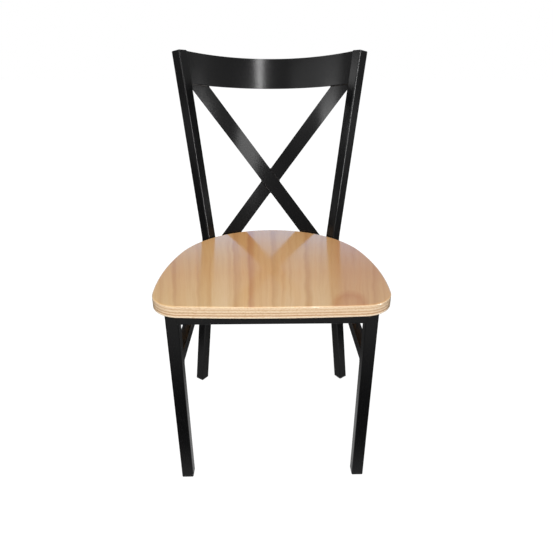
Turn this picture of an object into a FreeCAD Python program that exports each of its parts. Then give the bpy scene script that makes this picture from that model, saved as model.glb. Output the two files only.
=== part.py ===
import FreeCAD, Part
import math
import os
import re
import Sketcher
from FreeCAD import Placement, Rotation, Vector

# Restaurant chair: a welded frame of square steel tube with a curved cross back, and a plywood seat
# that is screwed to it from below. Millimetres, +Z up. The chair faces -Y, and its origin is on the
# floor at the middle of its outline. Sizes that end in _back are measured rearwards from the front
# faces of the front legs, and sizes that end in _rise run up the leaning back from the seat's height.

doc = FreeCAD.newDocument("restaurant_chair")
sheet = doc.addObject("Spreadsheet::Sheet", "Sizes")

SIZES = [
    ("tube_side", 25, "side of the square tube of all four legs"),
    ("tube_wall", 1.5, "wall of every tube"),
    ("tube_corner", 2.5, "corner radius outside every tube"),
    ("foot_splay", 48, "rear foot, outwards from the bend"),
    ("foot_back", 364, "rear foot"),
    ("knee_inset", 46, "bend of the rear tube, inwards from the front legs' outer faces"),
    ("knee_back", 346, "bend of the rear tube"),
    ("knee_drop", 11, "bend of the rear tube, below the top of the seat"),
    ("post_splay", 48, "top of the post, outwards from the bend"),
    ("top_back", 397, "top of the post"),
    ("post_height", 874, "top of the post's tube, above the floor"),
    ("knee_bend_radius", 100, "bend radius of the rear tube's middle line"),
    ("rail_tall", 32, "height of the seat frame's tubes"),
    ("rail_thick", 20, "thickness of the seat frame's tubes"),
    ("rear_rail_lead", 3, "middle of the rear rail, ahead of the rear legs' middles"),
    ("brace_tall", 25, "height of the side braces"),
    ("brace_thick", 20, "thickness of the side braces"),
    ("brace_drop", 94, "middle of a side brace in its front leg, below the seat frame"),
    ("brace_rise", 45, "how much higher a side brace meets its rear leg"),
    ("seat_height", 450, "top of the seat"),
    ("seat_thickness", 24, "plywood"),
    ("seat_width", 460, "across the widest place"),
    ("seat_overhang", 34, "seat's front edge, ahead of the front legs"),
    ("seat_side_overhang", 27, "seat's widest place, outside the front legs"),
    ("seat_front_radius", 3000, "plan radius of the front edge"),
    ("seat_corner_radius", 60, "plan radius of the front corners"),
    ("seat_side_radius", 560, "plan radius of the sides"),
    ("seat_rear_inset", 14, "plan radius of the rear edge, less than half of the seat's width"),
    ("seat_edge_bevel", 2.5, "bevel of the seat's top edge"),
    ("seat_foot_bevel", 1, "bevel of the seat's bottom edge"),
    ("seat_back_gap", 7, "seat's rear edge to the back plates, on the middle line"),
    ("seat_post_gap", 3, "least gap from the seat to the posts"),
    ("back_flatness", 85, "radius of the curved back, more than half its width at the posts' tops"),
    ("grip_foot", 1, "where the plates meet the posts at the bend, outwards from the flats' middles"),
    ("grip_top", 3, "where the plates meet the posts at the top, outwards from the flats' middles"),
    ("plate_thickness", 4, "crest rail, cross bars and lower back rail"),
    ("crest_lift", 4, "top edge of the crest rail, above the ends of the posts"),
    ("crest_tall", 71, "crest rail"),
    ("crest_dip", 2, "dip of the crest rail's top edge at its middle"),
    ("cross_top_inset", 35, "upper ends of the cross, inwards from the posts' tops"),
    ("cross_foot_inset", 48, "lower ends of the cross, inwards from the bends"),
    ("bar_width", 36, "cross bars"),
    ("lower_rail_drop", 20, "top edge of the lower back rail, below the seat's height"),
    ("lower_rail_tall", 30, "lower back rail"),
    ("glide_height", 7, "foot of each glide"),
    ("plug_length", 18, "plugs of the glides and caps"),
    ("plug_clearance", 0.1, "between a plug and its tube, each side"),
    ("plug_wall", 2, "wall of the hollow plugs"),
    ("glide_bevel", 1.2, "bevel round the sole of a glide"),
    ("cap_rim", 2, "straight rim of a post cap"),
    ("cap_crown", 6, "height and width of a post cap's bevel"),
    ("bracket_leg", 62, "sides of the corner brackets"),
    ("bracket_thickness", 3, "corner brackets"),
    ("bracket_hole_inset", 23, "seat screw, in from the corner along both sides"),
    ("screw_thread", 6, "seat screws"),
    ("screw_hole", 7, "hole in each bracket"),
    ("screw_reach", 11, "screw inside the seat"),
    ("screw_head_width", 11, "pan head"),
    ("screw_head_height", 3.4, "pan head"),
    ("screw_recess_width", 4, "hexagonal recess in the head, across its flats"),
    ("screw_recess_depth", 2, "hexagonal recess in the head"),
    ("washer_width", 14, "washer under each head"),
    ("washer_thickness", 1.4, "washer under each head"),
    ("thread_clearance", 0.1, "round the screws and the inserts"),
    ("insert_width", 10, "threaded insert in the seat"),
    ("insert_length", 13, "threaded insert in the seat"),
    ("insert_hole_depth", 15, "blind hole for the insert"),
]

DERIVED = [
    ("frame_top", "seat_height - seat_thickness", "top of the seat frame"),
    ("brace_height", "frame_top - rail_tall - brace_drop", "middle of a side brace in its front leg"),
    ("knee_height", "seat_height - knee_drop", "bend of the rear tube, above the floor"),
    ("leg_spread", "seat_width - 2 * seat_side_overhang", "width over the front legs"),
    ("knee_half_span", "leg_spread / 2 - knee_inset", "bend of the rear tube, from the chair's middle"),
    ("foot_half_span", "knee_half_span + foot_splay", "rear foot, from the chair's middle"),
    ("top_half_span", "knee_half_span + post_splay", "top of the post, from the chair's middle"),
    ("back_radius", "top_half_span + back_flatness", "front face of the curved back plates"),
    ("cross_top_half_span", "top_half_span - cross_top_inset", "upper ends of the cross"),
    ("cross_foot_half_span", "knee_half_span - cross_foot_inset", "lower ends of the cross"),
    ("seat_rear_radius", "seat_width / 2 - seat_rear_inset", "plan radius of the seat's rear edge"),
]

rows = 0


def put(name, value, meaning):
    """Adds a row to the sheet: what the size means, and a cell of this name."""
    global rows
    rows += 1
    sheet.set(f"A{rows}", meaning)
    sheet.set(f"B{rows}", str(value))
    sheet.setAlias(f"B{rows}", name)


for name, value, meaning in SIZES:
    put(name, value, meaning)
for name, formula, meaning in DERIVED:
    put(name, "=" + formula, meaning)
doc.recompute()


def size(name):
    """The number in the sheet's cell of this name."""
    cell = sheet.get(name)
    return float(getattr(cell, "Value", cell))


def number(feature, formula):
    """What a formula on the sheet's names comes to."""
    result = feature.evalExpression(formula)
    return float(getattr(result, "Value", result))


def cells(formula):
    """The formula with the sheet's name put before each of its sizes."""
    return re.sub("[a-z]+_[a-z_]+", lambda word: "Sizes." + word[0], formula)


def add(kind, name, **properties):
    """Adds an object to the document and sets its properties."""
    thing = doc.addObject(kind, name)
    for key, value in properties.items():
        setattr(thing, key, value)
    return thing


def new_body(name, place=Placement()):
    return add("PartDesign::Body", name, Placement=place)


def new_sketch(body, name, plane):
    """A sketch on one of the body's own origin planes."""
    sketch = body.newObject("Sketcher::SketchObject", name)
    support = [item for item in body.Origin.OriginFeatures if item.Role == plane][0]
    sketch.AttachmentSupport = [(support, "")]
    sketch.MapMode = "FlatFace"
    return sketch


def bind(sketch, constraint, formula, name):
    """Adds a dimension to the sketch and ties it to the sheet."""
    index = sketch.addConstraint(constraint)
    sketch.renameConstraint(index, name)
    sketch.setExpression("Constraints." + name, cells(formula))


def locate(sketch, edge, end, x_formula, y_formula, name):
    """Ties one end of an edge to its place from the sketch's origin."""
    x = number(sketch, cells(x_formula))
    y = number(sketch, cells(y_formula))
    bind(sketch, Sketcher.Constraint("DistanceX", -1, 1, edge, end, x), x_formula, name + "_x")
    bind(sketch, Sketcher.Constraint("DistanceY", -1, 1, edge, end, y), y_formula, name + "_y")


def draw_polygon(sketch, corners):
    """Draws straight edges round the corners, which are pairs of formulas."""
    points = [Vector(number(sketch, cells(x)), number(sketch, cells(y)), 0) for x, y in corners]
    edges = []
    for start, end in zip(points, points[1:] + points[:1]):
        edges.append(sketch.addGeometry(Part.LineSegment(start, end)))
    for index, edge in enumerate(edges):
        after = edges[(index + 1) % len(edges)]
        sketch.addConstraint(Sketcher.Constraint("Coincident", edge, 2, after, 1))
    for index, (x, y) in enumerate(corners):
        locate(sketch, edges[index], 1, x, y, f"corner_{index}")


def draw_rounded_rectangle(sketch, width, depth, radius, name):
    """Draws a rectangle with round corners about the sketch's origin, from formulas."""
    half_x = number(sketch, cells(width)) / 2
    half_y = number(sketch, cells(depth)) / 2
    r = number(sketch, cells(radius))
    up = Vector(0, 0, 1)
    sides = []
    arcs = []
    for quarter in range(4):
        turn = Rotation(up, 90 * quarter)
        across, along = (half_x, half_y) if quarter % 2 == 0 else (half_y, half_x)
        start = turn.multVec(Vector(across, r - along, 0))
        end = turn.multVec(Vector(across, along - r, 0))
        centre = turn.multVec(Vector(across - r, along - r, 0))
        begin = math.pi / 2 * quarter
        sides.append(sketch.addGeometry(Part.LineSegment(start, end)))
        circle = Part.Circle(centre, up, r)
        arcs.append(sketch.addGeometry(Part.ArcOfCircle(circle, begin, begin + math.pi / 2)))
    for index in range(4):
        after = sides[(index + 1) % 4]
        sketch.addConstraint(Sketcher.Constraint("Tangent", sides[index], 2, arcs[index], 1))
        sketch.addConstraint(Sketcher.Constraint("Tangent", arcs[index], 2, after, 1))
        if index:
            sketch.addConstraint(Sketcher.Constraint("Equal", arcs[0], arcs[index]))
    sketch.addConstraint(Sketcher.Constraint("Vertical", sides[0]))
    sketch.addConstraint(Sketcher.Constraint("Horizontal", sides[1]))
    sketch.addConstraint(Sketcher.Constraint("Vertical", sides[2]))
    sketch.addConstraint(Sketcher.Constraint("Horizontal", sides[3]))
    bind(sketch, Sketcher.Constraint("Radius", arcs[0], r), radius, name + "_radius")
    half_width = f"({width}) / 2"
    half_depth = f"({depth}) / 2"
    right = Sketcher.Constraint("DistanceX", -1, 1, sides[0], 1, half_x)
    top = Sketcher.Constraint("DistanceY", -1, 1, sides[1], 1, half_y)
    left = Sketcher.Constraint("DistanceX", sides[2], 1, -1, 1, half_x)
    bottom = Sketcher.Constraint("DistanceY", sides[3], 1, -1, 1, half_y)
    bind(sketch, right, half_width, name + "_right")
    bind(sketch, top, half_depth, name + "_top")
    bind(sketch, left, half_width, name + "_left")
    bind(sketch, bottom, half_depth, name + "_bottom")


def pad(body, sketch, name, length, midplane=False):
    """Pads the sketch by a formula's length, to one side or to both."""
    feature = body.newObject("PartDesign::Pad", name)
    feature.Profile = sketch
    feature.Midplane = midplane
    feature.setExpression("Length", cells(length))
    sketch.Visibility = False
    return feature


def rounded_bar(name, width, depth, radius, length, place):
    """A straight solid bar of rounded rectangular section, along its own Z."""
    body = new_body(name, place)
    sketch = new_sketch(body, name + "_section", "XY_Plane")
    draw_rounded_rectangle(sketch, width, depth, radius, "section")
    pad(body, sketch, name + "_pad", length)
    return body


def sharp_bar(name, width, depth, length, place):
    """A straight solid bar of rectangular section, along its own Z."""
    bar = add("Part::Box", name)
    for side, formula in (("Length", width), ("Width", depth), ("Height", length)):
        bar.setExpression(side, cells(formula))
    half_x = number(sheet, cells(width)) / 2
    half_y = number(sheet, cells(depth)) / 2
    bar.Placement = place.multiply(Placement(Vector(-half_x, -half_y, 0), Rotation()))
    return bar


def outer_and_bore(name, width, depth, length, place):
    """The outside and the bore of a straight tube, as two solid bars along their own Z."""
    outer = rounded_bar(name + "_outer", width, depth, "tube_corner", length, place)
    bore = sharp_bar(name + "_bore", f"{width} - 2 * tube_wall", f"{depth} - 2 * tube_wall", length, place)
    return outer, bore


def fuse(name, pieces):
    return add("Part::MultiFuse", name, Shapes=pieces)


def cut(name, base, *tools):
    """The base with one or more tools taken away."""
    tool = tools[0] if len(tools) == 1 else fuse(name + "_tools", list(tools))
    return add("Part::Cut", name, Base=base, Tool=tool)


def common(name, base, tool):
    return add("Part::Common", name, Base=base, Tool=tool)


def mirrored(name, source):
    """The same piece for the chair's left side."""
    return add("Part::Mirroring", name, Source=source, Normal=Vector(1, 0, 0), Base=Vector(0, 0, 0))


def block(name, low, high, place=Placement()):
    """A plain box between two corners, used to trim other pieces."""
    box = add("Part::Box", name)
    box.Length = high.x - low.x
    box.Width = high.y - low.y
    box.Height = high.z - low.z
    box.Placement = place.multiply(Placement(low, Rotation()))
    return box


def place_axes(origin, x_axis, z_axis):
    """A placement with its X and Z along the given directions."""
    y_axis = z_axis.cross(x_axis)
    return Placement(origin, Rotation(x_axis, y_axis, z_axis, "ZXY"))


X_AXIS = Vector(1, 0, 0)
Z_AXIS = Vector(0, 0, 1)
BEYOND = 3 * size("post_height")
half_tube = size("tube_side") / 2
frame_top = size("frame_top")

# The three points of a rear tube's middle line, still measured from the front legs' front faces, and
# its directions. across_leg points out of the flat that faces inwards and rearwards.

foot = Vector(size("foot_half_span"), size("foot_back"), 0)
knee = Vector(size("knee_half_span"), size("knee_back"), size("knee_height"))
top = Vector(size("top_half_span"), size("top_back"), size("post_height"))
leg = knee - foot
post = top - knee
along_leg = Vector(leg).normalize()
along_post = Vector(post).normalize()
across_leg = leg.cross(post).normalize()
sideways = across_leg.cross(along_leg)
flat_level = across_leg.cross(Z_AXIS).normalize()
knee_turn = along_leg.getAngle(along_post)
knee_setback = size("knee_bend_radius") * math.tan(knee_turn / 2)
put("leg_straight", leg.Length - knee_setback, "straight part of the rear tube below the bend")
put("post_straight", post.Length - knee_setback, "straight part of the rear tube above the bend")
put("knee_turn", math.degrees(knee_turn), "angle of the bend, in degrees")

# The back plates follow one upright cylinder that leans back. It meets the posts' inner rear flats at
# two grips, one at the bends and one at the tops, and that settles its lean and its place.


def bow(x):
    """How far the cylinder has come forwards at a distance from the middle of the chair."""
    return size("back_radius") - math.sqrt(size("back_radius") ** 2 - x ** 2)


low_grip = knee + across_leg * half_tube + flat_level * size("grip_foot")
high_grip = top + across_leg * half_tube + flat_level * size("grip_top")
between = high_grip - low_grip
height_between = math.hypot(between.y, between.z)
rake = math.atan2(between.y, between.z) + math.asin((bow(high_grip.x) - bow(low_grip.x)) / height_between)
back_up = Vector(0, math.sin(rake), math.cos(rake))
back_out = Vector(0, math.cos(rake), -math.sin(rake))
low_middle = low_grip + back_out * bow(low_grip.x)
high_middle = high_grip + back_out * bow(high_grip.x)
low_middle.x = high_middle.x = 0
back_origin = low_middle + back_up * ((size("seat_height") - low_middle.z) / math.cos(rake))
crest_rise = (high_middle - back_origin).dot(back_up) + size("crest_lift")
crest_middle = back_origin + back_up * (crest_rise - size("crest_dip"))
rear_most = crest_middle + back_out * size("plate_thickness")
plate_at_seat = back_origin.y - size("seat_thickness") * math.tan(rake)
put("crest_rise", crest_rise, "top edge of the crest rail")
put("origin_back", (rear_most.y - size("seat_overhang")) / 2, "middle of the chair's outline")
put("seat_depth", size("seat_overhang") + plate_at_seat - size("seat_back_gap"), "on the middle line")

BACK_SIZES = [
    ("crest_foot_rise", "crest_rise - crest_tall", "lower edge of the crest rail"),
    ("cross_rise", "crest_foot_rise + lower_rail_drop", "height of the cross"),
    ("cross_run", "cross_top_half_span + cross_foot_half_span", "width that a bar crosses"),
    ("bar_half_cut", "bar_width / 2 * sqrt(cross_rise^2 + cross_run^2) / cross_rise",
     "half of a bar's slanted end"),
    ("crossing_rise", "crest_foot_rise - cross_rise * cross_top_half_span / cross_run",
     "where the bars cross"),
]
for name, formula, meaning in BACK_SIZES:
    put(name, "=" + formula, meaning)
doc.recompute()

# From here on, places are measured from the chair's own origin

to_origin = Vector(0, -size("origin_back"), 0)
foot, knee, top, back_origin = [point + to_origin for point in (foot, knee, top, back_origin)]
nodes = {}


def chair_point(x, back, z):
    """A point from its distance behind the front legs' front faces."""
    return Vector(x, back, z) + to_origin


# Front legs: straight tubes, square to the front, from their glides up to the seat

front_leg_middle = size("leg_spread") / 2 - half_tube
front_foot = chair_point(front_leg_middle, half_tube, size("glide_height"))
front_outer, front_bore = outer_and_bore(
    "front_leg", "tube_side", "tube_side", "frame_top - glide_height", Placement(front_foot, Rotation()))
nodes["front_leg_right"] = cut("front_leg_right", front_outer, front_bore)
nodes["front_leg_left"] = mirrored("front_leg_left", nodes["front_leg_right"])
front_outer_left = mirrored("front_leg_outer_left", front_outer)

# Rear legs: one tube each, bent once at the seat. The bend lies in the plane of the foot, the knee
# and the top, and two of the tube's flats lie along that plane, so they stay flat from end to end.
# The tube starts one tube's side too low, and a level cut takes that off.

rear_place = place_axes(foot - along_leg * size("tube_side"), sideways, along_leg)


def bent_bar(name, width, radius=None):
    """A square bar swept up the leg, round the bend and up the post. It may have round corners."""
    body = new_body(name, rear_place)
    section = new_sketch(body, name + "_section", "XY_Plane")
    if radius:
        draw_rounded_rectangle(section, width, width, radius, "section")
    else:
        high = f"({width}) / 2"
        low = f"0 - ({width}) / 2"
        draw_polygon(section, [(low, low), (high, low), (high, high), (low, high)])
    path = new_sketch(body, name + "_path", "XZ_Plane")
    turn = math.radians(size("knee_turn"))
    bend = size("knee_bend_radius")
    straight = size("leg_straight") + size("tube_side")
    rest = size("post_straight")
    centre = Vector(bend, straight, 0)
    after = centre + Vector(-bend * math.cos(turn), bend * math.sin(turn), 0)
    end = after + Vector(rest * math.sin(turn), rest * math.cos(turn), 0)
    leg = path.addGeometry(Part.LineSegment(Vector(0, 0, 0), Vector(0, straight, 0)))
    circle = Part.Circle(centre, Vector(0, 0, 1), bend)
    arc = path.addGeometry(Part.ArcOfCircle(circle, math.pi - turn, math.pi))
    post = path.addGeometry(Part.LineSegment(after, end))
    path.addConstraint(Sketcher.Constraint("Coincident", leg, 1, -1, 1))
    path.addConstraint(Sketcher.Constraint("Vertical", leg))
    path.addConstraint(Sketcher.Constraint("Tangent", leg, 2, arc, 2))
    path.addConstraint(Sketcher.Constraint("Tangent", arc, 1, post, 1))
    bind(path, Sketcher.Constraint("DistanceY", leg, 1, leg, 2, straight),
         "leg_straight + tube_side", "leg_length")
    bind(path, Sketcher.Constraint("Radius", arc, bend), "knee_bend_radius", "bend_radius")
    bind(path, Sketcher.Constraint("DistanceX", post, 1, post, 2, rest * math.sin(turn)),
         "post_straight * sin(knee_turn * 1 deg)", "post_lean")
    bind(path, Sketcher.Constraint("DistanceY", post, 1, post, 2, rest * math.cos(turn)),
         "post_straight * cos(knee_turn * 1 deg)", "post_rise")
    sweep = body.newObject("PartDesign::AdditivePipe", name + "_sweep")
    sweep.Profile = section
    sweep.Spine = path
    return body


rear_outer = bent_bar("rear_leg_outer", "tube_side", "tube_corner")
rear_bore = bent_bar("rear_leg_bore", "tube_side - 2 * tube_wall")
rear_outer_left = mirrored("rear_leg_outer_left", rear_outer)
below_tubes = block("below_tubes", Vector(-BEYOND, -BEYOND, -BEYOND),
                    Vector(BEYOND, BEYOND, size("glide_height")))
nodes["rear_leg_right"] = cut("rear_leg_right", rear_outer, rear_bore, below_tubes)
nodes["rear_leg_left"] = mirrored("rear_leg_left", nodes["rear_leg_right"])

# Seat frame: rectangular tubes under the seat. Each end is coped to the leg that it is welded to.

rail_middle_height = frame_top - size("rail_tall") / 2


def leg_at(height):
    """The middle of the right rear leg at a height below the bend."""
    return foot + (knee - foot) * (height / size("knee_height"))


def coped_tube(name, start, end, tall, thick, *legs):
    """A tube from one point to another, on edge, coped to the legs' outsides."""
    run = end - start
    length = str(run.Length)
    place = place_axes(start, Z_AXIS, run.normalize())
    outer, bore = outer_and_bore(name, tall, thick, length, place)
    nodes[name] = cut(name, outer, bore, *legs)
    return outer


front_rail_start = chair_point(-front_leg_middle, size("rail_thick") / 2, rail_middle_height)
front_rail_end = chair_point(front_leg_middle, size("rail_thick") / 2, rail_middle_height)
front_rail_outer = coped_tube("front_rail", front_rail_start, front_rail_end, "rail_tall", "rail_thick",
                              front_outer, front_outer_left)

rear_rail_end = leg_at(rail_middle_height) - Vector(0, size("rear_rail_lead"), 0)
rear_rail_start = Vector(-rear_rail_end.x, rear_rail_end.y, rear_rail_end.z)
rear_rail_outer = coped_tube("rear_rail", rear_rail_start, rear_rail_end, "rail_tall", "rail_thick",
                             rear_outer, rear_outer_left)


def side_tube(name, height, rise, tall, thick):
    """A tube from a front leg's rear face to the outer front flat of the rear leg."""
    front = chair_point(front_leg_middle, half_tube, height)
    flat = leg_at(height + rise) - across_leg * half_tube
    flat.z = height + rise
    behind = flat + (flat - front).normalize() * half_tube
    outer = coped_tube(name + "_right", front, behind, tall, thick, front_outer, rear_outer)
    nodes[name + "_left"] = mirrored(name + "_left", nodes[name + "_right"])
    return outer, behind


side_rail_outer, side_rail_end = side_tube("side_rail", rail_middle_height, 0, "rail_tall", "rail_thick")
side_tube("side_brace", size("brace_height"), size("brace_rise"), "brace_tall", "brace_thick")

# Back: each plate is drawn square on from the front and cut out of the bent sheet, and its ends stop
# at the posts' inner rear flats.

back_place = place_axes(back_origin, X_AXIS, back_up)
SHEET_MARGIN = size("bar_width")
SHEET_HALF_ANGLE = math.radians(60)

sheet_place = back_place.multiply(
    Placement(Vector(0, 0, -size("lower_rail_drop") - size("lower_rail_tall") - SHEET_MARGIN), Rotation()))
bent_sheet = new_body("bent_sheet", sheet_place)
sheet_sketch = new_sketch(bent_sheet, "bent_sheet_section", "XY_Plane")
inside = size("back_radius")
outside = inside + size("plate_thickness")
first = math.pi / 2 - SHEET_HALF_ANGLE
last = math.pi / 2 + SHEET_HALF_ANGLE
sheet_centre = Vector(0, -inside, 0)
rays = [Vector(math.cos(angle), math.sin(angle), 0) for angle in (first, last)]
inner_arc = sheet_sketch.addGeometry(
    Part.ArcOfCircle(Part.Circle(sheet_centre, Z_AXIS, inside), first, last))
outer_arc = sheet_sketch.addGeometry(
    Part.ArcOfCircle(Part.Circle(sheet_centre, Z_AXIS, outside), first, last))
end_lines = []
for ray in rays:
    line = Part.LineSegment(sheet_centre + ray * inside, sheet_centre + ray * outside)
    end_lines.append(sheet_sketch.addGeometry(line))
for line, arc_end in zip(end_lines, (1, 2)):
    sheet_sketch.addConstraint(Sketcher.Constraint("Coincident", line, 1, inner_arc, arc_end))
    sheet_sketch.addConstraint(Sketcher.Constraint("Coincident", line, 2, outer_arc, arc_end))
sheet_sketch.addConstraint(Sketcher.Constraint("Coincident", inner_arc, 3, outer_arc, 3))
sheet_sketch.addConstraint(Sketcher.Constraint("PointOnObject", inner_arc, 3, -2))
bind(sheet_sketch, Sketcher.Constraint("DistanceY", inner_arc, 3, -1, 1, inside), "back_radius", "centre")
bind(sheet_sketch, Sketcher.Constraint("Radius", inner_arc, inside), "back_radius", "inner_radius")
bind(sheet_sketch, Sketcher.Constraint("Radius", outer_arc, outside),
     "back_radius + plate_thickness", "outer_radius")
for line, side in zip(end_lines, (1, -1)):
    reach = inside * math.sin(SHEET_HALF_ANGLE) * side
    name = "reach_right" if side > 0 else "reach_left"
    bind(sheet_sketch, Sketcher.Constraint("DistanceX", -1, 1, line, 1, reach),
         f"back_radius * {reach / inside}", name)
pad(bent_sheet, sheet_sketch, "bent_sheet_pad",
    f"crest_rise + lower_rail_drop + lower_rail_tall + 2 * {SHEET_MARGIN}")

flat_low = Vector(-BEYOND, half_tube - BEYOND, -BEYOND)
flat_high = Vector(BEYOND, half_tube, BEYOND)
past_post = block("past_post_flat", flat_low, flat_high, rear_place)
past_post_left = mirrored("past_post_flat_left", past_post)


def back_outline(name):
    """A body and a sketch for one plate, drawn square on from the front."""
    body = new_body(name + "_front", back_place)
    return body, new_sketch(body, name + "_outline", "XZ_Plane")


def back_plate(name, front, *tools):
    """The part of the bent sheet behind a front outline, trimmed at the posts."""
    whole = common(name + "_whole", bent_sheet, front)
    nodes[name] = cut(name, whole, past_post, past_post_left, *tools)


PLATE_REACH = "(top_half_span + tube_side)"
CROSS_TOP = "crest_foot_rise"
CROSS_FOOT = "0 - lower_rail_drop"

lower_front, lower_sketch = back_outline("lower_back_rail")
lower_edge = "0 - lower_rail_drop - lower_rail_tall"
draw_polygon(lower_sketch, [
    (f"0 - {PLATE_REACH}", lower_edge), (PLATE_REACH, lower_edge),
    (PLATE_REACH, CROSS_FOOT), (f"0 - {PLATE_REACH}", CROSS_FOOT)])
pad(lower_front, lower_sketch, "lower_back_rail_pad", "2 * back_radius", True)
back_plate("lower_back_rail", lower_front, rear_rail_outer)

# Crest rail: its top edge is one shallow arc, lowest at the middle

crest_front, crest_sketch = back_outline("crest_rail")
reach = number(crest_sketch, cells(PLATE_REACH))
left_top = Vector(-reach, crest_rise, 0)
left_foot = Vector(-reach, size("crest_foot_rise"), 0)
right_foot = Vector(reach, size("crest_foot_rise"), 0)
right_top = Vector(reach, crest_rise, 0)
dip_radius = (reach ** 2 + size("crest_dip") ** 2) / (2 * size("crest_dip"))
dip_angle = math.asin(reach / dip_radius)
dip_centre = Vector(0, crest_rise - size("crest_dip") + dip_radius, 0)
left_side = crest_sketch.addGeometry(Part.LineSegment(left_top, left_foot))
foot_side = crest_sketch.addGeometry(Part.LineSegment(left_foot, right_foot))
right_side = crest_sketch.addGeometry(Part.LineSegment(right_foot, right_top))
dip = crest_sketch.addGeometry(Part.ArcOfCircle(
    Part.Circle(dip_centre, Z_AXIS, dip_radius), -math.pi / 2 - dip_angle, -math.pi / 2 + dip_angle))
crest_sketch.addConstraint(Sketcher.Constraint("Coincident", left_side, 2, foot_side, 1))
crest_sketch.addConstraint(Sketcher.Constraint("Coincident", foot_side, 2, right_side, 1))
crest_sketch.addConstraint(Sketcher.Constraint("Coincident", right_side, 2, dip, 2))
crest_sketch.addConstraint(Sketcher.Constraint("Coincident", dip, 1, left_side, 1))
locate(crest_sketch, left_side, 1, f"0 - {PLATE_REACH}", "crest_rise", "left_top")
locate(crest_sketch, left_side, 2, f"0 - {PLATE_REACH}", "crest_foot_rise", "left_foot")
locate(crest_sketch, right_side, 1, PLATE_REACH, "crest_foot_rise", "right_foot")
locate(crest_sketch, right_side, 2, PLATE_REACH, "crest_rise", "right_top")
bind(crest_sketch, Sketcher.Constraint("Radius", dip, dip_radius),
     f"({PLATE_REACH}^2 + crest_dip^2) / (2 * crest_dip)", "dip_radius")
pad(crest_front, crest_sketch, "crest_rail_pad", "2 * back_radius", True)
back_plate("crest_rail", crest_front)

# Cross: one bar runs through, and two half bars are welded to its edges in the same sheet

RIGHT_TOP = "cross_top_half_span"
LEFT_TOP = "0 - cross_top_half_span"
RIGHT_FOOT = "cross_foot_half_span"
LEFT_FOOT = "0 - cross_foot_half_span"


def bar_front(name, foot_x, foot_rise, top_x, top_rise):
    """A slanting strip between two rises; the x formulas are the strip's middle there."""
    front, sketch = back_outline(name)
    draw_polygon(sketch, [
        (f"{foot_x} - bar_half_cut", foot_rise), (f"{foot_x} + bar_half_cut", foot_rise),
        (f"{top_x} + bar_half_cut", top_rise), (f"{top_x} - bar_half_cut", top_rise)])
    pad(front, sketch, name + "_pad", "2 * back_radius", True)
    return front


full_front = bar_front("cross_bar_full", RIGHT_FOOT, CROSS_FOOT, LEFT_TOP, CROSS_TOP)
upper_front = bar_front("cross_bar_upper", "0", "crossing_rise", RIGHT_TOP, CROSS_TOP)
lower_bar_front = bar_front("cross_bar_lower", LEFT_FOOT, CROSS_FOOT, "0", "crossing_rise")
back_plate("cross_bar_full", full_front)
back_plate("cross_bar_upper", upper_front, full_front)
back_plate("cross_bar_lower", lower_bar_front, full_front)

# Post caps: a rim and a bevelled crown on top of each post, and a hollow plug inside the tube. The
# crown is a square spire with 45 degree sides, inside the tube's outline.

post_place = place_axes(top, across_leg.cross(along_post), along_post)
PLUG_SIDE = "tube_side - 2 * tube_wall - 2 * plug_clearance"


def plug(name, place, direction):
    """A hollow square plug of the tube's bore size, from the place's origin up or down."""
    shift = size("plug_length") if direction < 0 else 0
    start = place.multiply(Placement(Vector(0, 0, -shift), Rotation()))
    solid = sharp_bar(name + "_solid", PLUG_SIDE, PLUG_SIDE, "plug_length", start)
    hollow_side = f"{PLUG_SIDE} - 2 * plug_wall"
    hollow = sharp_bar(name + "_hollow", hollow_side, hollow_side, "plug_length", start)
    return cut(name, solid, hollow)


cap_bar = rounded_bar("cap_bar", "tube_side", "tube_side", "tube_corner", "cap_rim + cap_crown", post_place)
cap_spire = add("Part::Wedge", "cap_spire")
for edge in ("Xmin", "Zmin"):
    cap_spire.setExpression(edge, cells("0 - tube_side / 2 - cap_rim"))
for edge in ("Xmax", "Zmax"):
    cap_spire.setExpression(edge, cells("tube_side / 2 + cap_rim"))
for edge in ("X2min", "Z2min"):
    cap_spire.setExpression(edge, cells("cap_crown - tube_side / 2"))
for edge in ("X2max", "Z2max"):
    cap_spire.setExpression(edge, cells("tube_side / 2 - cap_crown"))
cap_spire.Ymin = 0
cap_spire.setExpression("Ymax", cells("cap_rim + cap_crown"))
cap_spire.Placement = post_place.multiply(Placement(Vector(0, 0, 0), Rotation(X_AXIS, 90)))
cap_head = common("cap_head", cap_bar, cap_spire)
cap_plug = plug("cap_plug", post_place, -1)
nodes["post_cap_right"] = fuse("post_cap_right", [cap_head, cap_plug])
nodes["post_cap_left"] = mirrored("post_cap_left", nodes["post_cap_right"])

# Glides: a foot of the tube's outline that stands on the floor, bevelled round its sole, and a plug


def glide(name, axis_place):
    """A plastic foot for a tube whose middle line starts one tube's side below the floor."""
    long_bar = rounded_bar(name + "_long", "tube_side", "tube_side", "tube_corner",
                           "2 * tube_side + glide_height", axis_place)
    slab = block(name + "_slab", Vector(-BEYOND, -BEYOND, 0), Vector(BEYOND, BEYOND, size("glide_height")))
    head = common(name + "_head", long_bar, slab)
    doc.recompute()
    sole = [index for index, edge in enumerate(head.Shape.Edges, 1) if edge.BoundBox.ZMax < 0.001]
    bevelled = add("Part::Chamfer", name + "_bevelled", Base=head)
    bevelled.Edges = [(index, size("glide_bevel"), size("glide_bevel")) for index in sole]
    shank_start = Vector(0, 0, size("tube_side") + size("glide_height") / 2)
    shank = plug(name + "_plug", axis_place.multiply(Placement(shank_start, Rotation())), 1)
    return fuse(name, [bevelled, shank])


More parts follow.
